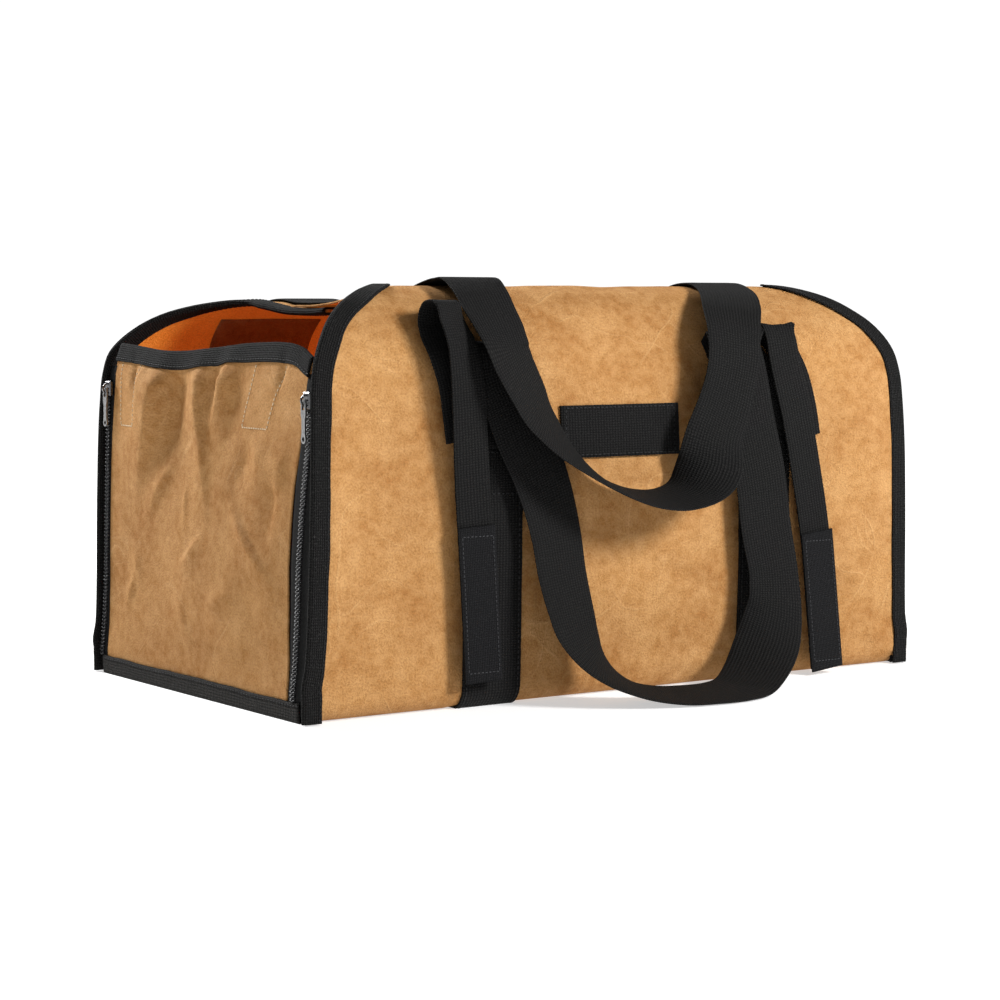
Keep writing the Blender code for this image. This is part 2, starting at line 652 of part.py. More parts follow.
def zip_slider(side, y, tag, parts):
    """A slider with its arch, and the pull that hangs from the arch."""
    middle = slider_face(side) - side * SLIDER["thick"] / 2
    bm = bmesh.new()
    bmesh.ops.create_cube(bm, size=1.0)
    bmesh.ops.scale(bm, vec=(SLIDER["thick"], SLIDER["wide"], SLIDER["tall"]), verts=bm.verts)
    bmesh.ops.bevel(
        bm, geom=list(bm.edges), offset=0.0009, segments=1, affect="EDGES", profile=0.5
    )
    mesh = bpy.data.meshes.new("zip_slider_" + tag)
    bm.to_mesh(mesh)
    bm.free()
    slider = add_object("zip_slider_" + tag, mesh, "steel", parts)
    slider.location = (middle, y, SLIDER["z"])

    rings = []
    turns = 6
    for k in range(turns + 1):
        angle = math.pi * k / turns
        out = slider_face(side) + side * (ARCH["reach"] * math.sin(angle) - 0.0008)
        centre = Vector((out, y, SLIDER["z"] + ARCH["foot"] * math.cos(angle)))
        radial = Vector((side * math.sin(angle), 0, math.cos(angle)))
        across = Vector((0, 1, 0))
        wire = ARCH["wire"]
        corners = ((1, 1), (-1, 1), (-1, -1), (1, -1))
        rings.append([centre + radial * a * wire + across * b * wire for a, b in corners])
    arch = loft("arch_" + tag, rings, "steel", bpy.data.collections["cutters"], [(0, 1, 2, 3)])
    arch.hide_render = True
    arch.display_type = "WIRE"
    join = slider.modifiers.new("arch", "BOOLEAN")
    join.operation = "UNION"
    join.object = arch
    join.solver = "EXACT"
    zip_pull(side, y, tag, parts)


def outline(spline, points):
    """A closed run of straight lines in the flat of a curve."""
    spline.points.add(len(points) - 1)
    for point, (u, v) in zip(spline.points, points):
        point.co = (u, v, 0.0, 1.0)
    spline.use_cyclic_u = True


def ring_points(radius_u, radius_v, centre_v, first, last, count):
    """Points on part of an ellipse, by angle in degrees."""
    angles = [math.radians(first + (last - first) * k / count) for k in range(count + 1)]
    return [(radius_u * math.cos(a), centre_v + radius_v * math.sin(a)) for a in angles]


def zip_pull(side, y, tag, parts):
    """A flat pull with a window round the arch and a round hole near its end."""
    curve = bpy.data.curves.new("zip_pull_" + tag, "CURVE")
    curve.dimensions = "2D"
    curve.fill_mode = "BOTH"
    curve.extrude = PULL["thick"] / 2
    half = PULL["wide"] / 2
    top = PULL["bar"] / 2
    end = -PULL["long"] + half
    body = [(-half, top), (-half, -PULL["window"] - 0.004), (-half * 0.7, -PULL["window"] - 0.007)]
    body += [(-half * 0.7, end + 0.004)]
    body += ring_points(half, half, end, 180, 360, 6)
    body += [(half * 0.7, end + 0.004), (half * 0.7, -PULL["window"] - 0.007)]
    body += [(half, -PULL["window"] - 0.004), (half, top)]
    outline(curve.splines.new("POLY"), body)
    inside = PULL["inside"] / 2
    low = -top - PULL["window"]
    outline(curve.splines.new("POLY"), [(-inside, -top), (-inside, low), (inside, low), (inside, -top)])
    outline(curve.splines.new("POLY"), ring_points(PULL["hole"], PULL["hole"], end, 0, 300, 5))
    pull = bpy.data.objects.new("zip_pull_" + tag, curve)
    parts.objects.link(pull)
    curve.materials.append(finish("zip_pull_" + tag, "steel"))
    pull.location = pull_axis(side, y)
    pull.rotation_euler = (math.pi / 2, 0.0, math.pi / 2)
    return pull


def patches(parts):
    """The webbing strip on the front and the dark patch inside the back wall."""
    away = CANVAS / 2 + GAP + WEBBING / 2
    between_rows = [row["up"] for row in WALL if PATCH_Z[0] < row["up"] < PATCH_Z[1]]
    heights = [PATCH_Z[0]] + between_rows + [PATCH_Z[1]]
    columns = [PATCH_X[0], -0.035, 0.0, 0.035, PATCH_X[1]]
    lines = [[wall_skin(z, x, away) for x in columns] for z in heights]
    sheet("front_patch", lines, WEBBING, "webbing", parts)

    away = -(CANVAS / 2 + GAP + INNER_PATCH / 2)
    low, high = INNER_PATCH_Z
    inner_rows = [row[1] for row in ROWS[: BOTTOM_ROW] if low < row[1] < high and row[0] > 0.11]
    heights = [low] + sorted(inner_rows) + [high]
    lines = [[wall_skin(z, x, away, back=True) for x in INNER_PATCH_X] for z in heights]
    sheet("reinforcement_patch", lines, INNER_PATCH, "leather", parts)


def bands(parts):
    """Handles, closure straps and their hook strips."""
    band("front_handle", FRONT_HANDLE, WEB_WIDE, WEBBING, "webbing", parts)
    band("back_handle", BACK_HANDLE, WEB_WIDE, WEBBING, "webbing", parts)
    band("closure_strap_left", CLOSURE_LEFT, WEB_NARROW, WEBBING, "webbing", parts)
    band("closure_strap_right", CLOSURE_RIGHT, WEB_NARROW, WEBBING, "webbing", parts)
    band("hook_patch_left", HOOK_LEFT, HOOK_WIDTH, WEBBING, "hook", parts)
    band("hook_patch_right", HOOK_RIGHT, HOOK_WIDTH, WEBBING, "hook", parts)


def main():
    """Build the whole carrier in its own collection."""
    for obj in list(bpy.data.objects):
        bpy.data.objects.remove(obj, do_unlink=True)
    parts = bpy.data.collections.new("canvas_log_carrier")
    cutters = bpy.data.collections.new("cutters")
    bpy.context.scene.collection.children.link(parts)
    bpy.context.scene.collection.children.link(cutters)
    canvas_body(parts)
    sewn_straps(parts)
    edge_bindings(parts)
    end_panels(parts)
    zips(parts)
    patches(parts)
    bands(parts)


main()
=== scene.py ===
# %% [markdown]
# # Canvas log carrier: the looks
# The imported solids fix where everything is. This scene lays finer cloth over them: one wrapped
# canvas sheet, two gathered end walls, webbing, folded tape and zips, all with procedural finishes.

import json
import math

import bpy
import numpy as np
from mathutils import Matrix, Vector, noise

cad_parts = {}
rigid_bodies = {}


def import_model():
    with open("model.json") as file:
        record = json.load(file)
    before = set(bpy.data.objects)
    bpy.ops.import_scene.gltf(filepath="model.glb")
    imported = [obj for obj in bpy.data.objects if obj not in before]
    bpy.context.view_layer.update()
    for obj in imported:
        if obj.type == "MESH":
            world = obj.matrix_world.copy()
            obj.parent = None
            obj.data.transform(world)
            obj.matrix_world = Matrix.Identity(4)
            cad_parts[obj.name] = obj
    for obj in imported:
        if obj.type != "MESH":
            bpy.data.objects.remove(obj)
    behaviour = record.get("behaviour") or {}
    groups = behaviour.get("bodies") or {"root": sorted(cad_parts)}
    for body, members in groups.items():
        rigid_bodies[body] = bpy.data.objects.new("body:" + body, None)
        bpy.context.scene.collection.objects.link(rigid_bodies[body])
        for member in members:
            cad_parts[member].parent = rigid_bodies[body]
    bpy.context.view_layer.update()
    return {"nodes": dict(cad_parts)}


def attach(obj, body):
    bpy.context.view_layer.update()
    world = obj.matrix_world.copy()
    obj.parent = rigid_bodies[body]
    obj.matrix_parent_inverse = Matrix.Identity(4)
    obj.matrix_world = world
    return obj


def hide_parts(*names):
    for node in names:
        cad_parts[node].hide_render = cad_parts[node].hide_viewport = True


for item in list(bpy.data.objects):
    bpy.data.objects.remove(item, do_unlink=True)
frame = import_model()
BODY = "carrier"

# %% [markdown]
# ## The camera
# It stands where the photograph was taken from: turned about 35 degrees, a little above the floor.

# %% Camera
CAMERA_AT = (-1.17461741, -1.69754686, 0.29202348)
CAMERA_YAW = -0.6034
CAMERA_PITCH = 0.0759
CAMERA_LENS = 92.72

camera_data = bpy.data.cameras.new("camera")
camera_data.lens = CAMERA_LENS
camera_data.sensor_width = 36.0
camera_data.clip_end = 60.0
camera = bpy.data.objects.new("camera", camera_data)
camera.location = CAMERA_AT
camera.rotation_euler = (math.pi / 2 - CAMERA_PITCH, 0.0, CAMERA_YAW)
bpy.context.scene.collection.objects.link(camera)
bpy.context.scene.camera = camera

# %% [markdown]
# ## Sizes
# The canvas is one sheet. Its section is a row of places (y, z) from the back flap's free edge, down
# the back, under the bottom, up the front and over to the front flap's edge. Inset says how far each
# end edge lies inside the half length there.

# %% Sizes
HALF_LENGTH = 0.283
CANVAS = 0.0016
WEBBING = 0.0018
WEB_WIDE = 0.050
WEB_NARROW = 0.030
STRAP_X = 0.1275
SEWN_TOP = 0.185
ON_CANVAS = 0.0023
FIXED_X = 0.1575
SHOULDER_FROM = 0.250
BACK_SHOULDER = 0.782
# Columns: out, up, inset
WALL = [
    (0.0000, 0.0010, 0.0085),
    (0.0700, 0.0010, 0.0085),
    (0.1420, 0.0010, 0.0085),
    (0.1520, 0.0012, 0.0085),
    (0.1590, 0.0042, 0.0110),
    (0.1640, 0.0110, 0.0060),
    (0.1645, 0.0200, 0.0010),
    (0.1650, 0.0400, 0.0032),
    (0.1660, 0.0750, 0.0050),
    (0.1668, 0.1100, 0.0060),
    (0.1670, 0.1500, 0.0070),
    (0.1665, 0.1850, 0.0080),
    (0.1650, 0.2150, 0.0092),
    (0.1630, 0.2380, 0.0110),
    (0.1600, 0.2540, 0.0150),
    (0.1540, 0.2680, 0.0230),
    (0.1440, 0.2820, 0.0360),
    (0.1330, 0.2930, 0.0530),
    (0.1210, 0.3005, 0.0720),
    (0.1090, 0.3040, 0.0880),
    (0.0960, 0.3050, 0.1000),
]
WALL_ARRAY = np.array([row for row in WALL if row[1] >= 0.0199])
# Columns: y, up, inset
FRONT_FLAP = [
    (-0.070, 0.2985, 0.1010),
    (-0.036, 0.2928, 0.1020),
    (0.000, 0.2908, 0.1020),
    (0.026, 0.2905, 0.1020),
]
BACK_FLAP = [
    (0.070, 0.2900, 0.1010),
    (0.040, 0.2870, 0.1020),
    (0.010, 0.2860, 0.1020),
    (-0.026, 0.2870, 0.1020),
]


def unit(vectors):
    """Vectors of length one."""
    return vectors / np.linalg.norm(vectors, axis=-1)[..., None]


def lengths(path):
    """How far along a run of points each one lies."""
    return np.concatenate([[0.0], np.cumsum(np.linalg.norm(np.diff(path, axis=0), axis=1))])


def smooth_rows(rows, spacing, lead):
    """Evenly spaced rows on a smooth curve through the given ones; lead columns are the place."""
    rows = np.array(rows, float)
    at = lengths(rows[:, :lead])
    slope = np.gradient(rows, at, axis=0)
    want = np.linspace(0.0, at[-1], max(2, int(round(at[-1] / spacing)) + 1))
    k = np.clip(np.searchsorted(at, want, side="right") - 1, 0, len(at) - 2)
    step = (at[k + 1] - at[k])[:, None]
    t = (want - at[k])[:, None] / step
    start = (2 * t**3 - 3 * t**2 + 1) * rows[k] + (t**3 - 2 * t**2 + t) * slope[k] * step
    end = (3 * t**2 - 2 * t**3) * rows[k + 1] + (t**3 - t**2) * slope[k + 1] * step
    return start + end, want


def wrap_rows():
    """The whole section, the back shoulder lower than the front one."""
    rows = [list(row) for row in reversed(BACK_FLAP)]
    for out, up, inset in reversed(WALL):
        if up > SHOULDER_FROM:
            up = SHOULDER_FROM + (up - SHOULDER_FROM) * BACK_SHOULDER
        rows.append([out, up, inset])
    rows += [[-out, up, inset] for out, up, inset in WALL[1:]]
    return rows + [list(row) for row in FRONT_FLAP]


SECTION, SECTION_S = smooth_rows(wrap_rows(), 0.0045, 2)
SECTION_ALONG = unit(np.gradient(SECTION[:, :2], SECTION_S, axis=0))
SECTION_NORMAL = np.stack([-SECTION_ALONG[:, 1], SECTION_ALONG[:, 0]], axis=1)
if SECTION_NORMAL[len(SECTION_S) // 2, 1] > 0:
    SECTION_NORMAL *= -1
print("section rows", len(SECTION_S), "length", round(float(SECTION_S[-1]), 3))

# %% [markdown]
# ## The lie of the canvas
# Everything sewn to the canvas follows the same surface, so its swells, wrinkles and creases are one
# function of place. Creases are short lines with a width and a height.

# %% Canvas relief
# Columns: x, z, rx, rz, height
SWELLS = [
    (-0.215, 0.150, 0.040, 0.085, -0.0060),
    (0.000, 0.090, 0.080, 0.070, 0.0040),
    (0.035, 0.262, 0.090, 0.030, -0.0030),
    (0.225, 0.170, 0.040, 0.090, 0.0030),
    (-0.230, 0.060, 0.050, 0.050, 0.0020),
]
# Columns: x0, z0, x1, z1, width, height
FRONT_CREASES = [
    (-0.060, 0.022, 0.125, 0.017, 0.0035, 0.0024),
    (-0.050, 0.010, 0.125, 0.006, 0.0060, -0.0045),
    (0.236, 0.030, 0.280, 0.008, 0.0080, 0.0050),
    (0.240, 0.006, 0.278, 0.030, 0.0050, -0.0030),
    (-0.034, 0.070, 0.002, 0.092, 0.0050, 0.0012),
    (0.025, 0.104, 0.104, 0.078, 0.0050, 0.0014),
    (-0.040, 0.108, 0.102, 0.080, 0.0110, -0.0018),
    (0.208, 0.090, 0.240, 0.060, 0.0050, 0.0016),
    (-0.250, 0.215, -0.205, 0.150, 0.0070, 0.0012),
    (-0.245, 0.060, -0.195, 0.115, 0.0060, 0.0010),
    (0.205, 0.060, 0.255, 0.110, 0.0060, 0.0012),
    (0.200, 0.215, 0.262, 0.175, 0.0070, 0.0012),
    (-0.040, 0.250, 0.060, 0.262, 0.0080, -0.0012),
    (0.060, 0.275, 0.078, 0.205, 0.0070, -0.0018),
    (-0.060, 0.045, -0.010, 0.075, 0.0060, 0.0009),
]
# Columns: height, scale, seed
WRINKLES = [(0.0011, 14.0, 3.1), (0.0005, 38.0, 8.7)]
CALM_END = 0.030
CALM_FOOT = 0.020
# The canvas rises over each strap under the bottom, between these x
STRAP_RISE = (0.0975, 0.1025)
STRAP_FALL = (0.1525, 0.1575)
STRAP_LIFT = 0.0022
BOTTOM_Y = 0.1590


def noise_at(points, scale, seed):
    """Smooth noise from -1 to 1 at many points."""
    flat = np.asarray(points, float).reshape(-1, 3) * scale + seed
    values = [noise.noise(Vector(point)) for point in flat]
    return np.array(values).reshape(np.asarray(points).shape[:-1])


def wrinkles(places, rows):
    """Several noises together; rows give the height, scale and seed of each."""
    return sum(height * noise_at(places, scale, seed) for height, scale, seed in rows)


def line_bump(x, z, row):
    """A soft ridge along one short line, fading towards its ends."""
    x0, z0, x1, z1, width, height = row
    length = math.hypot(x1 - x0, z1 - z0)
    t = ((x - x0) * (x1 - x0) + (z - z0) * (z1 - z0)) / length**2
    off = ((x - x0) * (z1 - z0) - (z - z0) * (x1 - x0)) / length
    fade = np.clip(4.0 * t * (1.0 - t), 0.0, 1.0)
    return height * fade * np.exp(-((off / width) ** 2))


def relief(x, y, z):
    """How far the canvas stands out from its plain surface."""
    x, y, z = np.broadcast_arrays(x, y, z)
    front = np.clip((-0.13 - y) / 0.02, 0.0, 1.0)
    out = np.zeros(x.shape)
    for sx, sz, rx, rz, height in SWELLS:
        out += height * np.exp(-(((x - sx) / rx) ** 2 + ((z - sz) / rz) ** 2)) * front
    for row in FRONT_CREASES:
        out += line_bump(x, z, row) * front
        out += line_bump(-x + 0.03, z, row) * (1.0 - front) * (y > 0.1)
    places = np.stack([x, y, z], axis=-1)
    out += wrinkles(places, WRINKLES)
    fade = np.clip((HALF_LENGTH - 0.004 - np.abs(x)) / CALM_END, 0.0, 1.0)
    return out * (fade * np.clip((z - 0.004) / CALM_FOOT, 0.0, 1.0))


def step_up(value, low, high):
    """Zero below low, one above high, smooth between."""
    t = np.clip((value - low) / (high - low), 0.0, 1.0)
    return t * t * (3.0 - 2.0 * t)


def skin(s, x, away):
    """Points at a distance outside the middle of the canvas, by section length and x."""
    s, x = np.broadcast_arrays(np.asarray(s, float), np.asarray(x, float))
    y = np.interp(s, SECTION_S, SECTION[:, 0])
    z = np.interp(s, SECTION_S, SECTION[:, 1])
    ny = np.interp(s, SECTION_S, SECTION_NORMAL[:, 0])
    nz = np.interp(s, SECTION_S, SECTION_NORMAL[:, 1])
    stand = away + relief(x, y, z)
    size = np.abs(x)
    under = step_up(size, *STRAP_RISE) * (1.0 - step_up(size, *STRAP_FALL))
    under = under * (1.0 - step_up(z, 0.0008, 0.0028)) * (np.abs(y) < BOTTOM_Y) * STRAP_LIFT
    return np.stack([x, y + ny * stand, z + nz * stand + under], axis=-1)


def section_at(z, back=False):
    """The section length at a height on a long wall."""
    walls = [i for i in range(len(SECTION_S)) if abs(SECTION[i, 0]) > 0.115 and SECTION[i, 1] > 0.004]
    side = [i for i in walls if (SECTION[i, 0] > 0) == back]
    heights = SECTION[side, 1]
    order = np.argsort(heights)
    return float(np.interp(z, heights[order], SECTION_S[side][order]))


# %% [markdown]
# ## Making cloth
# A cloth piece is two grids of points, its outer and its inner face, joined round the rim. Its UVs
# are metres along and across, so that a weave keeps its real size wherever the cloth goes.

# %% Cloth meshes
def new_mesh(name, points, faces, finishes):
    """A smooth mesh with its finishes."""
    mesh = bpy.data.meshes.new(name)
    mesh.from_pydata(points, [], faces)
    mesh.shade_smooth()
    for finish in finishes:
        mesh.materials.append(finish)
    return mesh


def in_scene(name, data):
    """A mesh or a lamp as an object in the scene."""
    piece = bpy.data.objects.new(name, data)
    bpy.context.scene.collection.objects.link(piece)
    return piece


def cloth(name, outer, inner, across, along, finishes):
    """A closed thin piece from an outer and an inner grid of points, rows by columns."""
    rows, columns = outer.shape[:2]
    count = rows * columns
    points = np.concatenate([outer.reshape(-1, 3), inner.reshape(-1, 3)])
    index = np.arange(count).reshape(rows, columns)
    a, b, c, d = index[:-1, :-1], index[:-1, 1:], index[1:, 1:], index[1:, :-1]
    top = np.stack([a, b, c, d], axis=-1).reshape(-1, 4)
    low = top[:, ::-1] + count
    rims = []
    for run in (index[0, :], index[:, -1], index[-1, ::-1], index[::-1, 0]):
        rims.append(np.stack([run[1:], run[:-1], run[:-1] + count, run[1:] + count], axis=-1))
    faces = np.concatenate([top, low] + rims)
    mesh = new_mesh(name, points.tolist(), faces.tolist(), finishes)
    uv = np.stack(np.broadcast_arrays(np.asarray(across, float), np.asarray(along, float)[:, None]), axis=-1)
    both = np.concatenate([uv.reshape(-1, 2), uv.reshape(-1, 2)])
    loops = np.zeros(len(mesh.loops), dtype=np.int32)
    mesh.loops.foreach_get("vertex_index", loops)
    mesh.uv_layers.new(name="UVMap").data.foreach_set("uv", both[loops].astype(np.float32).ravel())
    if len(finishes) > 1:
        slots = np.zeros(len(faces), dtype=np.int32)
        slots[len(top) : len(top) * 2] = 1
        mesh.polygons.foreach_set("material_index", slots)
    mesh.update()
    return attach(in_scene(name, mesh), BODY)


# %% [markdown]
# ## Finishes
# Each finish is built from nodes: weave and grain in the bump, blotches and rubbed creases in the
# colour. Lengths in the textures are metres, from the UVs.

# %% Node helpers
def new_finish(name, rough, metal=0.0, specular=0.5):
    """A material with its tree and its shader."""
    material = bpy.data.materials.new(name)
    material.use_nodes = True
    tree = material.node_tree
    shader = tree.nodes["Principled BSDF"]
    shader.inputs["Roughness"].default_value = rough
    shader.inputs["Metallic"].default_value = metal
    shader.inputs["Specular IOR Level"].default_value = specular
    return material, tree, shader


def add(tree, kind, links=(), **values):
    """One node with its settings, and links given as (input, output socket)."""
    node = tree.nodes.new(kind)
    for key, value in values.items():
        if key in node.inputs.keys():
            node.inputs[key].default_value = value
        else:
            setattr(node, key, value)
    for key, socket in links:
        tree.links.new(socket, node.inputs[key])
    return node


def soft_noise(tree, place, scale, detail=3.0, rough=0.5):
    """A noise texture's value."""
    node = add(tree, "ShaderNodeTexNoise", [("Vector", place)], Scale=scale, Detail=detail, Roughness=rough)
    return node.outputs["Fac"]


# The pitch of a wave texture whose scale is 1
WAVE_PITCH = 0.314159


def waves(tree, place, pitch, direction, distortion=0.0):
    """Bands of a given pitch in metres along X or Y of the coordinates."""
    scale = WAVE_PITCH / pitch
    node = add(tree, "ShaderNodeTexWave", [("Vector", place)], Scale=scale, Distortion=distortion)
    node.bands_direction = direction
    return node.outputs["Fac"]


def span(tree, value, low, high, to_low=0.0, to_high=1.0):
    """A value spread from one range to another."""
    node = add(tree, "ShaderNodeMapRange", [("Value", value)])
    for key, number in (("From Min", low), ("From Max", high), ("To Min", to_low), ("To Max", to_high)):
        node.inputs[key].default_value = number
    return node.outputs["Result"]


def combine(tree, kind, first, second):
    """Two values, or a value and a number, through a math node."""
    node = add(tree, "ShaderNodeMath", operation=kind)
    for socket, value in zip(node.inputs, (first, second)):
        if isinstance(value, (int, float)):
            socket.default_value = value
        else:
            tree.links.new(value, socket)
    return node.outputs[0]


def times(tree, first, second):
    """Two values multiplied."""
    return combine(tree, "MULTIPLY", first, second)


def plus(tree, first, second):
    """Two values added."""
    return combine(tree, "ADD", first, second)


def blend_colours(tree, share, first, second):
    """A mix of two colours, each a socket or a plain colour."""
    node = add(tree, "ShaderNodeMix", data_type="RGBA")
    for socket, value in ((node.inputs[0], share), (node.inputs[6], first), (node.inputs[7], second)):
        if isinstance(value, tuple):
            socket.default_value = value
        else:
            tree.links.new(value, socket)
    return node.outputs[2]


def bump(tree, shader, height, distance, strength=1.0):
    """Height as a bump on the shader."""
    node = add(tree, "ShaderNodeBump", [("Height", height)], Strength=strength, Distance=distance)
    tree.links.new(node.outputs["Normal"], shader.inputs["Normal"])


# %% Canvas finishes
THREAD_PITCH = 0.0009
# Columns: scale, width, strength
CREASE_LINES = [(9.0, 0.0110, 0.8), (19.0, 0.0180, 0.6)]


def canvas_finish(name, base, deep, rubbed):
    """Waxed canvas: plain weave, grain, blotches and pale rubbed creases."""
    material, tree, shader = new_finish(name, 0.82, specular=0.10)
    place = add(tree, "ShaderNodeTexCoord").outputs["UV"]
    blotch = span(tree, soft_noise(tree, place, 11.0, 5.0, 0.6), 0.40, 0.62)
    patch = span(tree, soft_noise(tree, place, 30.0, 4.0, 0.65), 0.4, 0.7)
    speckle = soft_noise(tree, place, 640.0, 2.0, 0.6)
    mottle = soft_noise(tree, place, 110.0, 4.0, 0.7)
    lines = []
    for scale, wide, strength in CREASE_LINES:
        swirl = add(tree, "ShaderNodeTexNoise", [("Vector", place)], Scale=scale, Detail=0.6, Distortion=0.7)
        off = combine(tree, "ABSOLUTE", combine(tree, "SUBTRACT", swirl.outputs["Fac"], 0.5), 0.0)
        lines.append(times(tree, span(tree, off, 0.0, wide, 1.0, 0.0), strength))
    where = span(tree, soft_noise(tree, place, 15.0, 3.0), 0.46, 0.60)
    crease = times(tree, combine(tree, "MAXIMUM", lines[0], lines[1]), where)
    colour = blend_colours(tree, blotch, deep, base)
    for value, part in ((patch, 0.45), (crease, 0.60)):
        colour = blend_colours(tree, times(tree, value, part), colour, rubbed)
    shade = tuple(channel * 0.52 for channel in deep[:3]) + (1.0,)
    colour = blend_colours(tree, span(tree, speckle, 0.34, 0.62, 0.50, 0.0), colour, shade)
    colour = blend_colours(tree, span(tree, mottle, 0.40, 0.62, 0.0, 0.30), colour, rubbed)
    tree.links.new(colour, shader.inputs["Base Color"])
    weft = waves(tree, place, THREAD_PITCH, "X", 2.5)
    warp = waves(tree, place, THREAD_PITCH, "Y", 2.5)
    height = times(tree, plus(tree, weft, warp), 0.12)
    for value, part in ((speckle, 1.1), (crease, 0.6), (mottle, 0.5)):
        height = plus(tree, height, times(tree, value, part))
    bump(tree, shader, height, 0.0009, 0.9)
    tree.links.new(span(tree, crease, 0.0, 1.0, 0.84, 0.70), shader.inputs["Roughness"])
    return material


CANVAS_OUT = canvas_finish(
    "waxed_canvas",
    base=(0.415, 0.206, 0.068, 1.0),
    deep=(0.33, 0.146, 0.042, 1.0),
    rubbed=(0.59, 0.345, 0.145, 1.0),
)
# Painted light: the inside is the canvas's own colour pushed to a strong orange, standing for daylight
# through the cloth
CANVAS_IN_PAINTED_GLOW = canvas_finish(
    "canvas_inside_painted_glow",
    base=(0.80, 0.27, 0.035, 1.0),
    deep=(0.68, 0.19, 0.020, 1.0),
    rubbed=(0.86, 0.36, 0.065, 1.0),
)
# Painted light: the inside faces glow as if daylight came through the cloth
CANVAS_GLOW = (0.27, 0.066, 0.008, 1.0)
inner_shader = CANVAS_IN_PAINTED_GLOW.node_tree.nodes["Principled BSDF"]
inner_shader.inputs["Emission Color"].default_value = CANVAS_GLOW
inner_shader.inputs["Emission Strength"].default_value = 0.42
# Painted shadow: darker canvas for the back straps' shadow seen through the cloth
CANVAS_PAINTED_SHADOW = canvas_finish(
    "dark_canvas",
    base=(0.31, 0.17, 0.08, 1.0),
    deep=(0.22, 0.11, 0.05, 1.0),
    rubbed=(0.38, 0.22, 0.11, 1.0),
)


# %% Black cloth finishes
def woven_finish(name, low, high, pitch, row_pitch, fuzz, depth):
    """Black webbing or tape: ribs across it, ends along it, and a little grey fuzz."""
    material, tree, shader = new_finish(name, 0.8, specular=0.07)
    place = add(tree, "ShaderNodeTexCoord").outputs["UV"]
    ribs = waves(tree, place, pitch, "Y", 2.2)
    ends = waves(tree, place, row_pitch, "X", 1.6)
    weave = times(tree, span(tree, ribs, 0.0, 1.0, 0.35), span(tree, ends, 0.0, 1.0, 0.25))
    hair = span(tree, soft_noise(tree, place, 650.0, 3.0, 0.7), 0.55, 0.75)
    worn = span(tree, soft_noise(tree, place, 22.0, 3.0), 0.4, 0.7, 0.4, 1.0)
    colour = blend_colours(tree, weave, low, high)
    colour = blend_colours(tree, times(tree, times(tree, hair, worn), 0.8), colour, fuzz)
    tree.links.new(colour, shader.inputs["Base Color"])
    shader.inputs["Sheen Weight"].default_value = 0.012
    shader.inputs["Sheen Roughness"].default_value = 0.5
    height = plus(tree, weave, times(tree, hair, 0.5))
    bump(tree, shader, height, depth, 0.8)
    return material


WEB = woven_finish(
    "webbing",
    low=(0.0030, 0.0030, 0.0032, 1.0),
    high=(0.0140, 0.0136, 0.0130, 1.0),
    pitch=0.0019,
    row_pitch=0.0026,
    fuzz=(0.032, 0.031, 0.029, 1.0),
    depth=0.0009,
)
EDGE = woven_finish(
    "edge_tape",
    low=(0.0025, 0.0025, 0.0025, 1.0),
    high=(0.015, 0.0147, 0.0142, 1.0),
    pitch=0.0020,
    row_pitch=0.0017,
    fuzz=(0.072, 0.070, 0.067, 1.0),
    depth=0.0014,
)
WORN = woven_finish(
    "worn_tape",
    low=(0.0045, 0.0045, 0.0045, 1.0),
    high=(0.036, 0.034, 0.031, 1.0),
    pitch=0.0023,
    row_pitch=0.0021,
    fuzz=(0.17, 0.155, 0.14, 1.0),
    depth=0.0012,
)
HOOK = woven_finish(
    "hook_strip",
    low=(0.004, 0.004, 0.0045, 1.0),
    high=(0.013, 0.013, 0.0137, 1.0),
    pitch=0.0017,
    row_pitch=0.0015,
    fuzz=(0.042, 0.042, 0.044, 1.0),
    depth=0.0009,
)
ZIP_TAPE = woven_finish(
    "zip_tape",
    low=(0.004, 0.004, 0.004, 1.0),
    high=(0.010, 0.010, 0.010, 1.0),
    pitch=0.0009,
    row_pitch=0.0014,
    fuzz=(0.03, 0.03, 0.03, 1.0),
    depth=0.0003,
)


def thread_finish(name, colour, rough=0.6):
    """Twisted thread, a little uneven in shade."""
    material, tree, shader = new_finish(name, rough, specular=0.3)
    place = add(tree, "ShaderNodeTexCoord").outputs["Object"]
    uneven = soft_noise(tree, place, 300.0)
    dark = tuple(c * 0.6 for c in colour[:3]) + (1.0,)
    tree.links.new(blend_colours(tree, uneven, dark, colour), shader.inputs["Base Color"])
    bump(tree, shader, soft_noise(tree, place, 2500.0), 0.0002, 0.5)
    return material


THREAD_TAN = thread_finish("tan_thread", (0.74, 0.60, 0.40, 1.0))
THREAD_BLACK = thread_finish("black_thread", (0.012, 0.012, 0.013, 1.0), 0.7)
THREAD_GREY = thread_finish("grey_thread", (0.034, 0.034, 0.037, 1.0), 0.6)
COIL = thread_finish("zip_coil", (0.034, 0.034, 0.036, 1.0), 0.42)


def metal_finish(name, colour, rough):
    """Plated metal with fine scratches."""
    material, tree, shader = new_finish(name, rough, 1.0)
    place = add(tree, "ShaderNodeTexCoord").outputs["Object"]
    cloudy = soft_noise(tree, place, 500.0, 4.0)
    dull = tuple(c * 0.72 for c in colour[:3]) + (1.0,)
    shade = blend_colours(tree, span(tree, cloudy, 0.35, 0.7), dull, colour)
    tree.links.new(shade, shader.inputs["Base Color"])
    tree.links.new(span(tree, cloudy, 0.3, 0.7, rough * 1.5, rough * 0.8), shader.inputs["Roughness"])
    bump(tree, shader, soft_noise(tree, place, 1800.0), 0.0001, 0.3)
    return material


STEEL = metal_finish("zip_metal", (0.30, 0.30, 0.30, 1.0), 0.34)
GUN = metal_finish("dark_metal", (0.16, 0.16, 0.165, 1.0), 0.25)
print("finishes", len(bpy.data.materials))

# %% [markdown]
# ## The wrapped canvas
# Columns follow the ends, which draw in towards the top, so the sheet keeps its cut edge.

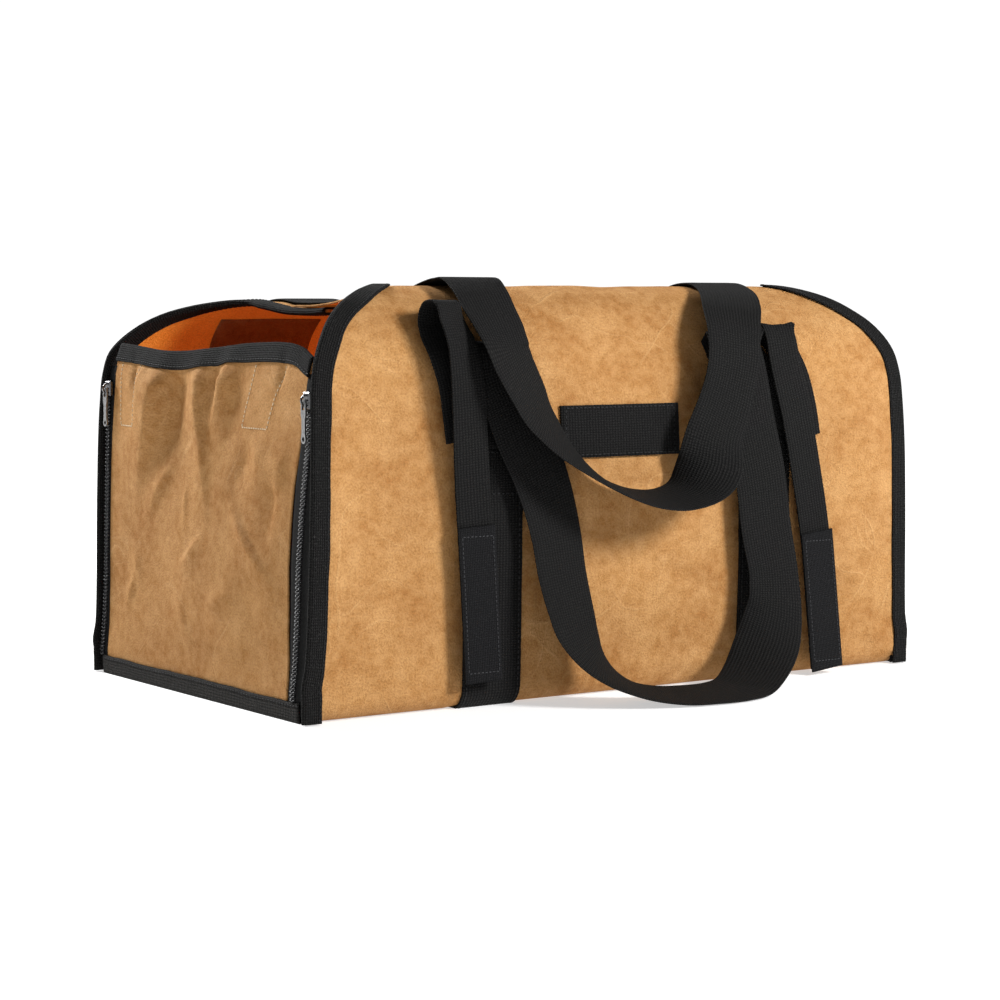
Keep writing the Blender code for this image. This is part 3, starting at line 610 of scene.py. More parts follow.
# %% Canvas body
def columns_at(share, inset):
    """The x of each column, from -1 to 1 along the sheet, at rows with these insets."""
    size = np.abs(share) * HALF_LENGTH
    outer = np.clip((size - FIXED_X) / (HALF_LENGTH - FIXED_X), 0.0, 1.0)
    drawn = FIXED_X + outer * (HALF_LENGTH - inset - FIXED_X)
    return np.sign(share) * np.where(size <= FIXED_X, size, drawn)


share = np.linspace(-1.0, 1.0, 125)[None, :]
wrap_x = columns_at(share, SECTION[:, 2:3])
wrap_s = SECTION_S[:, None]
canvas = cloth(
    "wrapped_canvas",
    skin(wrap_s, wrap_x, CANVAS / 2),
    skin(wrap_s, wrap_x, -CANVAS / 2),
    wrap_x,
    SECTION_S,
    [CANVAS_OUT, CANVAS_IN_PAINTED_GLOW],
)
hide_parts("canvas_body")
print("canvas faces", len(canvas.data.polygons))

# %% [markdown]
# ## Stitches
# A row of stitches is one mesh of small capsules laid along a line on the cloth.

# %% Stitch rows
# Along one stitch: share of its length, and share of its thickness
STITCH_RINGS = ((-0.5, 0.35), (-0.36, 1.0), (0.36, 1.0), (0.5, 0.35))
STITCH_LIFT = 0.00015
STITCH_WIDEN = 1.3
SIDES = 6


def place_along(at, rows, length):
    """The row at a length along a run, between the two nearest."""
    return np.array([np.interp(length, at, rows[:, i]) for i in range(3)])


def stitches(name, runs, finish, length=0.0027, gap=0.0012, radius=0.00028):
    """Stitches along runs of points, each with the directions its cloth faces."""
    points = []
    faces = []
    for run, normal in runs:
        run = np.asarray(run, float)
        normal = np.broadcast_to(np.asarray(normal, float), run.shape)
        at = lengths(run)
        count = int(at[-1] / (length + gap))
        for k in range(count):
            middle = (k + 0.5) * at[-1] / count
            start = place_along(at, run, middle - length / 2)
            stop = place_along(at, run, middle + length / 2)
            out = place_along(at, normal, middle)
            along = stop - start
            along /= np.linalg.norm(along)
            side = np.cross(out, along)
            side /= np.linalg.norm(side)
            out = np.cross(along, side)
            centre = (start + stop) / 2 + out * STITCH_LIFT
            base = len(points)
            for reach, size in STITCH_RINGS:
                for turn in range(SIDES):
                    angle = math.pi * turn / 3
                    ring = side * math.cos(angle) * STITCH_WIDEN + out * math.sin(angle)
                    points.append(centre + along * reach * length + ring * radius * size)
            last = base + 3 * SIDES
            for low in range(base, last, SIDES):
                high = low + SIDES
                for turn in range(SIDES):
                    other = (turn + 1) % SIDES
                    faces.append((low + turn, low + other, high + other, high + turn))
            faces.append(tuple(base + turn for turn in reversed(range(SIDES))))
            faces.append(tuple(last + turn for turn in range(SIDES)))
    mesh = new_mesh(name, [tuple(point) for point in points], faces, [finish])
    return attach(in_scene(name, mesh), BODY)


# %% [markdown]
# ## Sewn webbing
# Two straps run up the front, under the bottom and up the back. The front strip is sewn flat too, and
# a sheet of darker canvas inside the back wall is painted shadow: the back strap's shadow seen through the
# cloth.

# %% Sewn straps and patches
def flat_piece(name, s_values, x_values, away, thick, finish, node, slot):
    """A flat piece sewn to the canvas over a run of section lengths and x."""
    s = np.asarray(s_values)[:, None]
    x = np.asarray(x_values)[None, :]
    outer = skin(s, x, away + thick / 2)
    inner = skin(s, x, away - thick / 2)
    piece = cloth(name, outer, inner, x, np.asarray(s_values), [finish])
    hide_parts(node)


def sewn_line(s_values, x_values, away):
    """A run of points for stitches on the canvas, and the outward directions there."""
    s, x = np.broadcast_arrays(np.asarray(s_values, float), np.asarray(x_values, float))
    low = skin(s, x, away)
    return low, skin(s, x, away + 0.001) - low


# A few millimetres past the solids' ends, so that no canvas shows below the handles
S_BACK = section_at(SEWN_TOP + 0.0042, back=True)
S_FRONT = section_at(SEWN_TOP + 0.0045)
STITCH_OFF = 0.0225
STITCH_END = 0.004
SECOND_ROW = 0.034
WEB_FACE = ON_CANVAS + WEBBING / 2
strap_s = np.linspace(S_BACK, S_FRONT, 190)
strap_seam = np.linspace(S_BACK + STITCH_END, S_FRONT - STITCH_END, 300)
seam_ends = (S_BACK + STITCH_END, S_FRONT - STITCH_END, S_FRONT - SECOND_ROW, S_BACK + SECOND_ROW)
edge_share = np.array([-1.0, -0.98, -0.9, -0.6, -0.3, 0.0, 0.3, 0.6, 0.9, 0.98, 1.0])
for side, end in ((-1, "left"), (1, "right")):
    xs = side * STRAP_X + edge_share * WEB_WIDE / 2
    flat_piece("sewn_strap_" + end, strap_s, xs, ON_CANVAS, WEBBING, WEB, "strap_" + end, "webbing")
    runs = []
    for off in (-STITCH_OFF, STITCH_OFF):
        runs.append(sewn_line(strap_seam, side * STRAP_X + off, WEB_FACE))
    for s_end in seam_ends:
        xs = side * STRAP_X + np.linspace(-STITCH_OFF, STITCH_OFF, 12)
        runs.append(sewn_line(s_end, xs, WEB_FACE))
    stitches("strap_stitches_" + end, runs, THREAD_BLACK, radius=0.0004)

PATCH_X = (-0.0665, 0.0435)
PATCH_Z = (0.179, 0.2175)
patch_s = np.linspace(section_at(PATCH_Z[0]), section_at(PATCH_Z[1]), 16)
patch_x = np.linspace(*PATCH_X, 40)
flat_piece("front_strip", patch_s, patch_x, ON_CANVAS, WEBBING, WEB, "front_patch", "webbing")
inset_x = np.array([PATCH_X[0] + 0.004, PATCH_X[1] - 0.0045])
inset_s = np.array([patch_s[0] + 0.002, patch_s[-1] - 0.002])
runs = []
for x in (inset_x[0], inset_x[1], inset_x[1] - 0.006):
    runs.append(sewn_line(np.linspace(*inset_s, 12), x, WEB_FACE))
for s in inset_s:
    runs.append(sewn_line(s, np.linspace(*inset_x, 30), WEB_FACE))
stitches("front_strip_stitches", runs, THREAD_BLACK, radius=0.0004)

# Painted shadow: a sheet of darker canvas inside the back wall, where the back straps' shadow shows through
# the cloth
INNER_X = (-0.1825, -0.0905)
INNER_Z = (0.172, 0.281)
INNER_AWAY = -0.0017
INNER_THICK = 0.0009
inner_s = np.linspace(section_at(INNER_Z[0], back=True), section_at(INNER_Z[1], back=True), 30)
inner_x = np.linspace(*INNER_X, 24)
inner_looks = (CANVAS_PAINTED_SHADOW, "reinforcement_patch", "dark_canvas")
flat_piece("painted_strap_shadow", inner_s, inner_x, INNER_AWAY, INNER_THICK, *inner_looks)

# %% [markdown]
# ## Free webbing
# Each band is a table of places along its middle. Plan turns its width from +X towards the back, and
# tilt lifts the far edge, in degrees.

# %% Handles and closure straps
# Columns: x, y, z, plan, tilt
FRONT_HANDLE = [
    (-0.1265, -0.1687, 0.1880, 0, 0),
    (-0.1265, -0.1690, 0.1960, 0, 0),
    (-0.1265, -0.1700, 0.2130, 0, 0),
    (-0.1262, -0.1692, 0.2400, 0, 0),
    (-0.1258, -0.1668, 0.2545, 0, 0),
    (-0.1265, -0.1700, 0.2650, 0, 0),
    (-0.1272, -0.1756, 0.2580, 0, 0),
    (-0.1243, -0.1768, 0.2407, 0, 0),
    (-0.1165, -0.1772, 0.2240, 0, 0),
    (-0.1076, -0.1774, 0.2014, 2, 0),
    (-0.0939, -0.1778, 0.1734, 4, 0),
    (-0.0846, -0.1788, 0.1476, 6, 0),
    (-0.0796, -0.1810, 0.1240, 8, 0),
    (-0.0770, -0.1850, 0.0960, 10, 0),
    (-0.0732, -0.1900, 0.0710, 13, 0),
    (-0.0705, -0.1950, 0.0538, 17, 0),
    (-0.0640, -0.2020, 0.0370, 28, 0),
    (-0.0510, -0.2100, 0.0215, 46, 4),
    (-0.0330, -0.2185, 0.0110, 64, 6),
    (-0.0100, -0.2260, 0.0060, 79, 8),
    (0.0160, -0.2310, 0.0050, 90, 8),
    (0.0400, -0.2310, 0.0050, 99, 8),
    (0.0630, -0.2240, 0.0065, 111, 8),
    (0.0830, -0.2130, 0.0140, 128, 6),
    (0.1000, -0.2030, 0.0260, 147, 4),
    (0.1140, -0.1950, 0.0410, 164, 0),
    (0.1225, -0.1895, 0.0580, 174, 0),
    (0.1250, -0.1855, 0.0800, 180, 0),
    (0.1193, -0.1820, 0.1219, 180, 0),
    (0.1156, -0.1800, 0.1568, 180, 0),
    (0.1038, -0.1784, 0.2072, 180, 0),
    (0.0972, -0.1768, 0.2417, 180, 0),
    (0.0948, -0.1746, 0.2560, 180, 0),
    (0.0955, -0.1690, 0.2680, 180, 0),
    (0.1000, -0.1645, 0.2600, 180, 0),
    (0.1090, -0.1674, 0.2430, 180, 0),
    (0.1200, -0.1686, 0.2180, 180, 0),
    (0.1270, -0.1690, 0.1960, 180, 0),
    (0.1275, -0.1687, 0.1880, 180, 0),
]
# How the back handle climbs the back wall and turns over its shoulder, as (y, z)
BACK_CLIMB = [
    (0.1687, 0.1880),
    (0.1684, 0.2130),
    (0.1664, 0.2400),
    (0.1634, 0.2545),
    (0.1580, 0.2660),
    (0.1482, 0.2784),
    (0.1365, 0.2868),
    (0.1220, 0.2926),
    (0.0960, 0.2957),
    (0.0700, 0.2934),
]
BACK_HANDLE = [(-STRAP_X, y, z, 0, 0) for y, z in BACK_CLIMB] + [
    (-0.1250, 0.0300, 0.2932, 0, 0),
    (-0.1210, 0.0000, 0.2938, 0, 0),
    (-0.1180, -0.0360, 0.2956, 0, 0),
    (-0.1165, -0.0700, 0.3014, 0, 0),
    (-0.1170, -0.0960, 0.3078, 0, 0),
    (-0.1190, -0.1150, 0.3105, 0, 0),
    (-0.1205, -0.1290, 0.3105, 0, 0),
    (-0.1220, -0.1430, 0.3030, 4, 0),
    (-0.1240, -0.1600, 0.2880, 8, 0),
    (-0.1265, -0.1760, 0.2740, 13, 0),
    (-0.1265, -0.1865, 0.2610, 18, 0),
    (-0.1215, -0.1890, 0.2480, 21, 0),
    (-0.1130, -0.1905, 0.2320, 24, 0),
    (-0.1030, -0.1920, 0.2140, 28, 0),
    (-0.0890, -0.1940, 0.1970, 36, 2),
    (-0.0665, -0.1965, 0.1765, 54, 6),
    (-0.0380, -0.1985, 0.1580, 78, 12),
    (-0.0080, -0.1995, 0.1485, 88, 14),
    (0.0150, -0.1995, 0.1475, 94, 14),
    (0.0360, -0.1985, 0.1535, 112, 12),
    (0.0500, -0.1965, 0.1680, 144, 6),
    (0.0590, -0.1920, 0.1900, 172, 0),
    (0.0760, -0.1875, 0.2240, 180, 0),
    (0.0840, -0.1855, 0.2540, 180, 0),
    (0.0875, -0.1800, 0.2715, 180, 0),
    (0.0950, -0.1680, 0.2850, 180, 0),
    (0.1080, -0.1500, 0.2965, 180, 0),
    (0.1190, -0.1290, 0.3040, 180, 0),
    (0.1230, -0.1120, 0.3078, 180, 0),
    (0.1238, -0.0950, 0.3076, 180, 0),
    (0.1245, -0.0760, 0.3038, 180, 0),
    (0.1250, -0.0500, 0.2980, 180, 0),
    (0.1265, 0.0000, 0.2938, 180, 0),
    (0.1272, 0.0300, 0.2932, 180, 0),
] + [(STRAP_X, y, z, 180, 0) for y, z in reversed(BACK_CLIMB)]
CLOSURE_LEFT = [
    (-0.1550, -0.1722, 0.1950, 0, 0),
    (-0.1580, -0.1724, 0.2150, 0, 0),
    (-0.1625, -0.1722, 0.2400, 0, 0),
    (-0.1672, -0.1690, 0.2560, 0, 0),
    (-0.1680, -0.1590, 0.2700, 0, 0),
    (-0.1672, -0.1535, 0.2830, 6, 0),
    (-0.1660, -0.1555, 0.2935, 16, 0),
    (-0.1650, -0.1635, 0.2935, 24, 0),
    (-0.1640, -0.1730, 0.2790, 22, 0),
    (-0.1610, -0.1795, 0.2640, 14, 0),
    (-0.1585, -0.1817, 0.2450, 7, 0),
    (-0.1562, -0.1812, 0.2200, 4, 0),
    (-0.1542, -0.1800, 0.1980, 2, 0),
    (-0.1510, -0.1775, 0.1630, 0, 0),
    (-0.1480, -0.1764, 0.1300, 0, 0),
    (-0.1447, -0.1764, 0.0760, 0, 0),
    (-0.1420, -0.1764, 0.0230, 0, 0),
]
CLOSURE_RIGHT = [
    (0.1700, -0.1696, 0.1880, 0, 0),
    (0.1655, -0.1689, 0.2130, 0, 0),
    (0.1580, -0.1662, 0.2400, 0, 0),
    (0.1510, -0.1620, 0.2570, 0, 0),
    (0.1460, -0.1600, 0.2680, 0, 0),
    (0.1415, -0.1665, 0.2755, 0, 0),
    (0.1395, -0.1735, 0.2680, 0, 0),
    (0.1420, -0.1758, 0.2500, 0, 0),
    (0.1535, -0.1764, 0.2100, 0, 0),
    (0.1625, -0.1768, 0.1700, 0, 0),
    (0.1735, -0.1770, 0.1140, 0, 0),
    (0.1800, -0.1770, 0.0600, 0, 0),
    (0.1860, -0.1770, 0.0065, 0, 0),
]
HOOK_LEFT = [
    (-0.1483, -0.1788, 0.1335, 0, 0),
    (-0.1448, -0.1788, 0.0760, 0, 0),
    (-0.1418, -0.1788, 0.0210, 0, 0),
]
HOOK_RIGHT = [
    (0.1738, -0.1794, 0.1140, 0, 0),
    (0.1800, -0.1794, 0.0600, 0, 0),
    (0.1862, -0.1794, 0.0045, 0, 0),
]
HOOK_WIDTH = 0.0320
BAND_STEP = 0.0035
BAND_EDGE = np.array([-1.0, -0.985, -0.94, -0.75, -0.5, -0.25, 0.0, 0.25, 0.5, 0.75, 0.94, 0.985, 1.0])
# The webbing keeps its thickness nearly to the edge, and is this thin there
EDGE_SHARP = 24
EDGE_THIN = 0.06


def free_band(name, table, width, finish, node):
    """Webbing through a table of places and turns, with rounded edges."""
    rows, _ = smooth_rows(table, BAND_STEP, 3)
    centre = rows[:, :3]
    plan = np.radians(rows[:, 3])
    tilt = np.radians(rows[:, 4])
    across = np.stack([np.cos(plan) * np.cos(tilt), np.sin(plan) * np.cos(tilt), np.sin(tilt)], axis=1)
    along = unit(np.gradient(centre, axis=0))
    across = unit(across - along * np.sum(across * along, axis=1)[:, None])
    out = np.cross(across, along)
    full = np.sqrt(np.clip(1.0 - np.abs(BAND_EDGE) ** EDGE_SHARP, 0.0, 1.0)) * (1.0 - EDGE_THIN) + EDGE_THIN
    spread = BAND_EDGE * width / 2
    places = centre[:, None, :] + across[:, None, :] * spread[None, :, None]
    half = (full * WEBBING / 2)[None, :, None] * out[:, None, :]
    piece = cloth(name, places + half, places - half, spread, lengths(centre), [finish])
    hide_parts(node)


free_band("front_handle_webbing", FRONT_HANDLE, WEB_WIDE, WEB, "front_handle")
free_band("back_handle_webbing", BACK_HANDLE, WEB_WIDE, WEB, "back_handle")
free_band("closure_webbing_left", CLOSURE_LEFT, WEB_NARROW, WEB, "closure_strap_left")
free_band("closure_webbing_right", CLOSURE_RIGHT, WEB_NARROW, WEB, "closure_strap_right")
free_band("hook_strip_left", HOOK_LEFT, HOOK_WIDTH, HOOK, "hook_patch_left")
free_band("hook_strip_right", HOOK_RIGHT, HOOK_WIDTH, HOOK, "hook_patch_right")
for end, table in (("left", HOOK_LEFT), ("right", HOOK_RIGHT)):
    rows, _ = smooth_rows(table, BAND_STEP, 3)
    middle = rows[2:-2, :3]
    out = unit(np.cross(np.gradient(middle, axis=0), (1.0, 0.0, 0.0)))
    middle = middle + out * WEBBING / 2
    reach = np.array([HOOK_WIDTH / 2 - 0.0028, 0.0, 0.0])
    runs = [(middle - reach, out), (middle + reach, out)]
    for k in (0, -1):
        runs.append((middle[k] + np.linspace(-1.0, 1.0, 8)[:, None] * reach, out[k]))
    stitches("hook_stitches_" + end, runs, THREAD_GREY, 0.0022, 0.0010)

# %% [markdown]
# ## Tape over the edges
# Each tape is folded over the cut edge, so its section is a U: out along one face, round, and back.

# %% Folded tape
TAPE = 0.0012
LEG = 0.0125
COVER = CANVAS / 2 + 0.0006
# Along a leg: share of its length, and share of the tape's thickness
TAPE_LEG = [(1.0, 0.25), (0.985, 0.75), (0.93, 1.0), (0.7, 1.0), (0.45, 1.0), (0.2, 1.0), (0.02, 1.0)]
TURN_STEPS = 8
WANDER = 0.0009


def tape_section(radius):
    """The U of one face of the tape: how deep and how high each point is, and its share of the leg."""
    leg = [(share * LEG, COVER + (radius - COVER) * full, share) for share, full in TAPE_LEG]
    bend = []
    for k in range(1, TURN_STEPS):
        angle = math.pi * k / TURN_STEPS
        bend.append((-math.sin(angle) * radius, math.cos(angle) * radius, 0.0))
    return np.array(leg + bend + [(deep, -high, share) for deep, high, share in reversed(leg)])


def folded_tape(name, path, normals, inwards, node, finish):
    """Tape folded over an edge along path; inwards points from the edge into the cloth."""
    steps = lengths(path)
    wobble = noise_at(np.stack([steps * 40.0, steps * 0 + len(name), steps * 0], axis=1), 1.0, 0.3)
    layers = []
    for section in (tape_section(COVER + TAPE), tape_section(COVER)):
        deep = section[None, :, 0] + section[None, :, 2] * wobble[:, None] * WANDER
        grid = path[:, None, :] + inwards[:, None, :] * deep[..., None]
        layers.append(grid + normals[:, None, :] * section[None, :, 1, None])
    across = lengths(tape_section(COVER + TAPE)[:, :2])
    piece = cloth(name, *layers, across, steps, [finish])
    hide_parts(node)
    seam = path + inwards * (LEG - 0.0022 + wobble * WANDER)[:, None]
    runs = [(seam + normals * (sign * (COVER + TAPE)), normals * sign) for sign in (-1.0, 1.0)]
    stitches(name + "_stitches", runs, THREAD_BLACK, radius=0.0003)


def wall_edge(side, front):
    """Path, normals and inward directions along one end edge of a long wall."""
    foot = section_at(0.0115, back=not front)
    stop = SECTION_S[np.argmax(SECTION[:, 1])] if front else 0.0
    s = np.linspace(foot, stop, int(abs(stop - foot) / 0.004))
    inset = np.interp(s, SECTION_S, SECTION[:, 2])
    rise = np.abs(s - foot)
    inset = np.where(rise < 0.010, WALL_ARRAY[0, 2], inset)
    x = side * (HALF_LENGTH - inset)
    path = skin(s, x, 0.0)
    normals = unit(skin(s, x, 0.001) - path)
    upright = np.clip(1.0 - rise / 0.022, 0.0, 1.0)[:, None]
    normals = unit(normals * (1.0 - upright) + np.array([0.0, -1.0 if front else 1.0, 0.0]) * upright)
    drop = np.linspace(0.0010, path[0, 2] - 0.002, 3)
    lead = np.stack([np.full(3, x[0]), np.full(3, path[0, 1]), drop], axis=1)
    path = np.concatenate([lead, path])
    normals = np.concatenate([np.repeat([[0.0, -1.0 if front else 1.0, 0.0]], 3, axis=0), normals])
    along = unit(np.gradient(path, axis=0))
    inwards = np.cross(along, normals)
    inwards *= np.sign(inwards[:, :1]) * -side
    return path, normals, unit(inwards)


for side, end in ((-1, "left"), (1, "right")):
    for front, face in ((True, "front"), (False, "back")):
        tag = f"{end}_{face}"
        folded_tape("edge_tape_" + tag, *wall_edge(side, front), "edge_binding_" + tag, EDGE)

# %% [markdown]
# ## End walls
# Gathers start under the top tape and run out on the way down. Each fold is a line that may bend, with
# a width on either side and a height; the belly is the soft swell lower down.

# %% End panels
PANEL_INSET = 0.004
PANEL_TOP = 0.258
PANEL_FOOT = 0.0018
# Columns: up, front, back
PANEL_SIDE = [
    (0.0000, 0.1350, 0.1490),
    (0.0300, 0.1345, 0.1500),
    (0.0650, 0.1310, 0.1515),
    (0.1080, 0.1290, 0.1530),
    (0.1400, 0.1315, 0.1530),
    (0.1650, 0.1350, 0.1528),
    (0.1900, 0.1420, 0.1518),
    (0.2150, 0.1475, 0.1500),
    (0.2320, 0.1490, 0.1500),
    (0.2450, 0.1505, 0.1505),
    (0.2600, 0.1505, 0.1505),
]
# The upper edge sags in the middle and stands up towards the front
TOP_EDGE = [
    (-0.1510, 0.2505),
    (-0.1430, 0.2560),
    (-0.1250, 0.2615),
    (-0.1000, 0.2630),
    (-0.0540, 0.2615),
    (0.0090, 0.2565),
    (0.0400, 0.2542),
    (0.0750, 0.2540),
    (0.1200, 0.2570),
    (0.1510, 0.2590),
]
# Columns: path of (y, z), back width, front width, height
RIDGES = [
    ([(0.066, 0.262), (0.076, 0.225), (0.089, 0.184), (0.106, 0.145), (0.117, 0.112)], 0.028, 0.010, 0.0128),
    ([(0.098, 0.262), (0.098, 0.220), (0.102, 0.185)], 0.006, 0.006, 0.0030),
    (
        [(0.013, 0.262), (0.006, 0.215), (-0.004, 0.180), (-0.015, 0.140), (-0.024, 0.105)],
        0.018,
        0.006,
        0.0087,
    ),
    ([(-0.036, 0.262), (-0.022, 0.222), (-0.009, 0.184)], 0.005, 0.014, 0.0078),
    ([(0.046, 0.252), (0.052, 0.200), (0.066, 0.135)], 0.014, 0.022, -0.0100),
    ([(-0.012, 0.256), (-0.012, 0.235), (-0.008, 0.205)], 0.007, 0.007, -0.0067),
    ([(-0.050, 0.250), (-0.038, 0.200), (-0.036, 0.160)], 0.010, 0.020, -0.0051),
    ([(0.123, 0.260), (0.114, 0.231), (0.106, 0.208)], 0.0035, 0.0035, -0.0083),
    ([(-0.114, 0.262), (-0.109, 0.239), (-0.106, 0.222)], 0.0035, 0.0035, -0.0075),
    ([(-0.045, 0.152), (-0.071, 0.128), (-0.094, 0.107), (-0.131, 0.080)], 0.006, 0.003, 0.0045),
    ([(-0.015, 0.122), (0.005, 0.105), (0.032, 0.089)], 0.004, 0.012, 0.0051),
    ([(-0.110, 0.176), (-0.106, 0.140), (-0.092, 0.108)], 0.012, 0.008, -0.0060),
    ([(-0.070, 0.196), (-0.058, 0.168), (-0.040, 0.140)], 0.010, 0.012, -0.0045),
    ([(0.021, 0.160), (0.018, 0.122)], 0.003, 0.003, 0.0021),
    ([(0.040, 0.180), (0.070, 0.148), (0.094, 0.110)], 0.012, 0.005, 0.0046),
    ([(0.100, 0.086), (0.118, 0.064), (0.122, 0.042)], 0.006, 0.004, 0.0033),
    ([(0.110, 0.112), (0.100, 0.090), (0.086, 0.052)], 0.010, 0.008, 0.0033),
    ([(-0.020, 0.072), (-0.052, 0.080), (-0.090, 0.062)], 0.005, 0.005, 0.0027),
    ([(-0.083, 0.200), (-0.088, 0.176), (-0.072, 0.150)], 0.008, 0.012, 0.0045),
    ([(0.030, 0.080), (0.012, 0.052), (-0.010, 0.020)], 0.008, 0.006, 0.0027),
    ([(-0.128, 0.200), (-0.112, 0.160), (-0.108, 0.110)], 0.012, 0.006, 0.0039),
]
# y, z, ry, rz, height
BELLY = (-0.030, 0.090, 0.085, 0.070, 0.0090)
PANEL_WRINKLES = [(0.0014, 17.0, 5.5), (0.0007, 42.0, 1.5)]
PANEL_UPRIGHT = 0.2585
PANEL_HALF = 0.1505
NEXT = 0.001
SIDE_ARRAY = np.array(PANEL_SIDE)
EDGE_ARRAY = np.array(TOP_EDGE)


def panel_base(z):
    """How far out an end wall stands at a height, before its gathers."""
    inset = np.interp(z, WALL_ARRAY[:, 1], WALL_ARRAY[:, 2]) - WALL_ARRAY[0, 2]
    return HALF_LENGTH - PANEL_INSET - inset


def along_path(y, z, path):
    """How far along a path of places each point lies (0 to 1), and how far off it to the back."""
    spans = [math.dist(a, b) for a, b in zip(path, path[1:])]
    best = np.full(np.shape(y), 1e9)
    share = np.zeros(np.shape(y))
    off = np.zeros(np.shape(y))
    done = 0.0
    for (y0, z0), (y1, z1), length in zip(path, path[1:], spans):
        t = np.clip(((y - y0) * (y1 - y0) + (z - z0) * (z1 - z0)) / length**2, 0.0, 1.0)
        dy = y - (y0 + (y1 - y0) * t)
        dz = z - (z0 + (z1 - z0) * t)
        far = np.hypot(dy, dz)
        sign = np.sign((y - y0) * (z0 - z1) - (z - z0) * (y0 - y1))
        share = np.where(far < best, (done + t * length) / sum(spans), share)
        off = np.where(far < best, far * sign, off)
        best = np.minimum(best, far)
        done += length
    return share, off


def panel_reach(y, z):
    """How far the panel's cloth reaches, towards the front or the back."""
    front, back = (np.interp(z, SIDE_ARRAY[:, 0], SIDE_ARRAY[:, k]) for k in (1, 2))
    return np.where(y < 0, front, back)


def panel_out(y, z):
    """How far the end wall stands out at a place."""
    y, z = np.broadcast_arrays(np.asarray(y, float), np.asarray(z, float))
    edge = np.clip(1.0 - (np.abs(y) / panel_reach(y, z)) ** 10, 0.0, 1.0)
    rim = np.interp(y, EDGE_ARRAY[:, 0], EDGE_ARRAY[:, 1])
    calm = np.clip((z - 0.012) / 0.03, 0.0, 1.0) * np.clip((rim - 0.007 - z) / 0.016, 0.08, 1.0)
    by, bz, ry, rz, height = BELLY
    out = height * np.exp(-(((y - by) / ry) ** 2 + ((z - bz) / rz) ** 2))
    for path, back, front, height in RIDGES:
        share, off = along_path(y, z, path)
        low_fade = np.clip((1.0 - share) / 0.75, 0.0, 1.0)
        top_fade = np.clip(share / 0.30, 0.0, 1.0) if path[0][1] < 0.245 else 1.0
        fade = low_fade * low_fade * (3.0 - 2.0 * low_fade) * top_fade
        width = np.where(off > 0.0, back, front)
        out = out + height * fade * np.exp(-np.sqrt((off / width) ** 2 + 0.09) ** 1.35)
    places = np.stack(np.broadcast_arrays(y, z, y * 0.0 + 0.5), axis=-1)
    out = out + wrinkles(places, PANEL_WRINKLES)
    return panel_base(np.minimum(z, PANEL_UPRIGHT)) + out * edge * calm


def panel_point(side, y, z, away=0.0):
    """Points on or off an end wall, and the outward directions there."""
    y, z = np.broadcast_arrays(np.asarray(y, float), np.asarray(z, float))
    out = panel_out(y, z)
    dy = (panel_out(y + NEXT, z) - out) / NEXT
    dz = (panel_out(y, z + NEXT) - out) / NEXT
    normal = unit(np.stack([np.full(y.shape, float(side)), -dy, -dz], axis=-1))
    return np.stack([side * out, y, z], axis=-1) + normal * away, normal


# Columns: top front, top back, low front, low back, low z
POCKETS = [(-0.112, -0.071, -0.096, -0.058, 0.2030), (0.106, 0.140, 0.106, 0.133, 0.1975)]
POCKET_TOP = 0.249
for side, end in ((-1, "left"), (1, "right")):
    up = np.linspace(0.0, 1.0, 130)[:, None]
    across = np.linspace(-1.0, 1.0, 171)[None, :]
    top = np.interp(across * PANEL_HALF, EDGE_ARRAY[:, 0], EDGE_ARRAY[:, 1])
    zs = PANEL_FOOT + (top - PANEL_FOOT) * up
    ys = across * panel_reach(across + zs * 0.0, zs)
    layers = [panel_point(side, ys, zs, away)[0] for away in (CANVAS / 2, -CANVAS / 2)]
    finishes = [CANVAS_OUT, CANVAS_IN_PAINTED_GLOW]
    panel = cloth("end_wall_" + end, *layers, across[0] * 0.15, up[:, 0] * PANEL_TOP, finishes)
    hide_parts("end_panel_" + end)
    runs = []
    down = np.linspace(0.0, 1.0, 24)
    for top_front, top_back, low_front, low_back, z_low in POCKETS:
        z_line = POCKET_TOP + (z_low - POCKET_TOP) * down
        for y_line, z_run in (
            (top_front + (low_front - top_front) * down, z_line),
            (np.linspace(low_front, low_back, 16), np.full(16, z_low)),
            (top_back + (low_back - top_back) * down, z_line),
        ):
            runs.append(panel_point(side, y_line, z_run, CANVAS / 2))
    stitches("pocket_stitches_" + end, runs, THREAD_TAN, 0.0022, 0.0012, 0.00035)
    for edge, reach, down, finish in (("top", 0.1510, -1.0, EDGE), ("bottom", 0.1540, 1.0, WORN)):
        y_run = np.linspace(-reach, reach, 90)
        z_run = np.full(90, PANEL_FOOT)
        if edge == "top":
            z_run = np.interp(y_run, EDGE_ARRAY[:, 0], EDGE_ARRAY[:, 1])
            z_run = np.convolve(np.pad(z_run, 4, mode="edge"), np.full(9, 1 / 9), mode="valid")
        path, normals = panel_point(side, y_run * 0.994, z_run)
        inwards = unit(panel_point(side, y_run * 0.994, z_run + 0.012 * down)[0] - path)
        path[:, 1] = y_run
        normals = unit(normals - inwards * np.sum(normals * inwards, axis=1)[:, None])
        node = f"panel_{edge}_binding_{end}"
        folded_tape(f"wall_tape_{edge}_{end}", path, normals, inwards, node, finish)

# %% [markdown]
# ## Zips
# A tape joins each side of an end wall to the long wall. Two coils of bent wire mesh along its middle.

# %% Zips
CHAIN_FOOT = 0.0145
CHAIN_TOP = 0.2185
COIL_PITCH = 0.0029
COIL_OFF = 0.0013
COIL_LOOP = 0.0015
COIL_RISE = 0.0007
WIRE_RADIUS = 0.00062
ZIP_FOOT = 0.005
ZIP_TOP = 0.2435
# Columns: up, front, back
CHAIN_LINE = [
    (0.0145, 0.1450, 0.1565),
    (0.1080, 0.1462, 0.1565),
    (0.1400, 0.1490, 0.1565),
    (0.1650, 0.1520, 0.1565),
    (0.1900, 0.1560, 0.1568),
    (0.2185, 0.1572, 0.1572),
]
CHAIN_ARRAY = np.array(CHAIN_LINE)


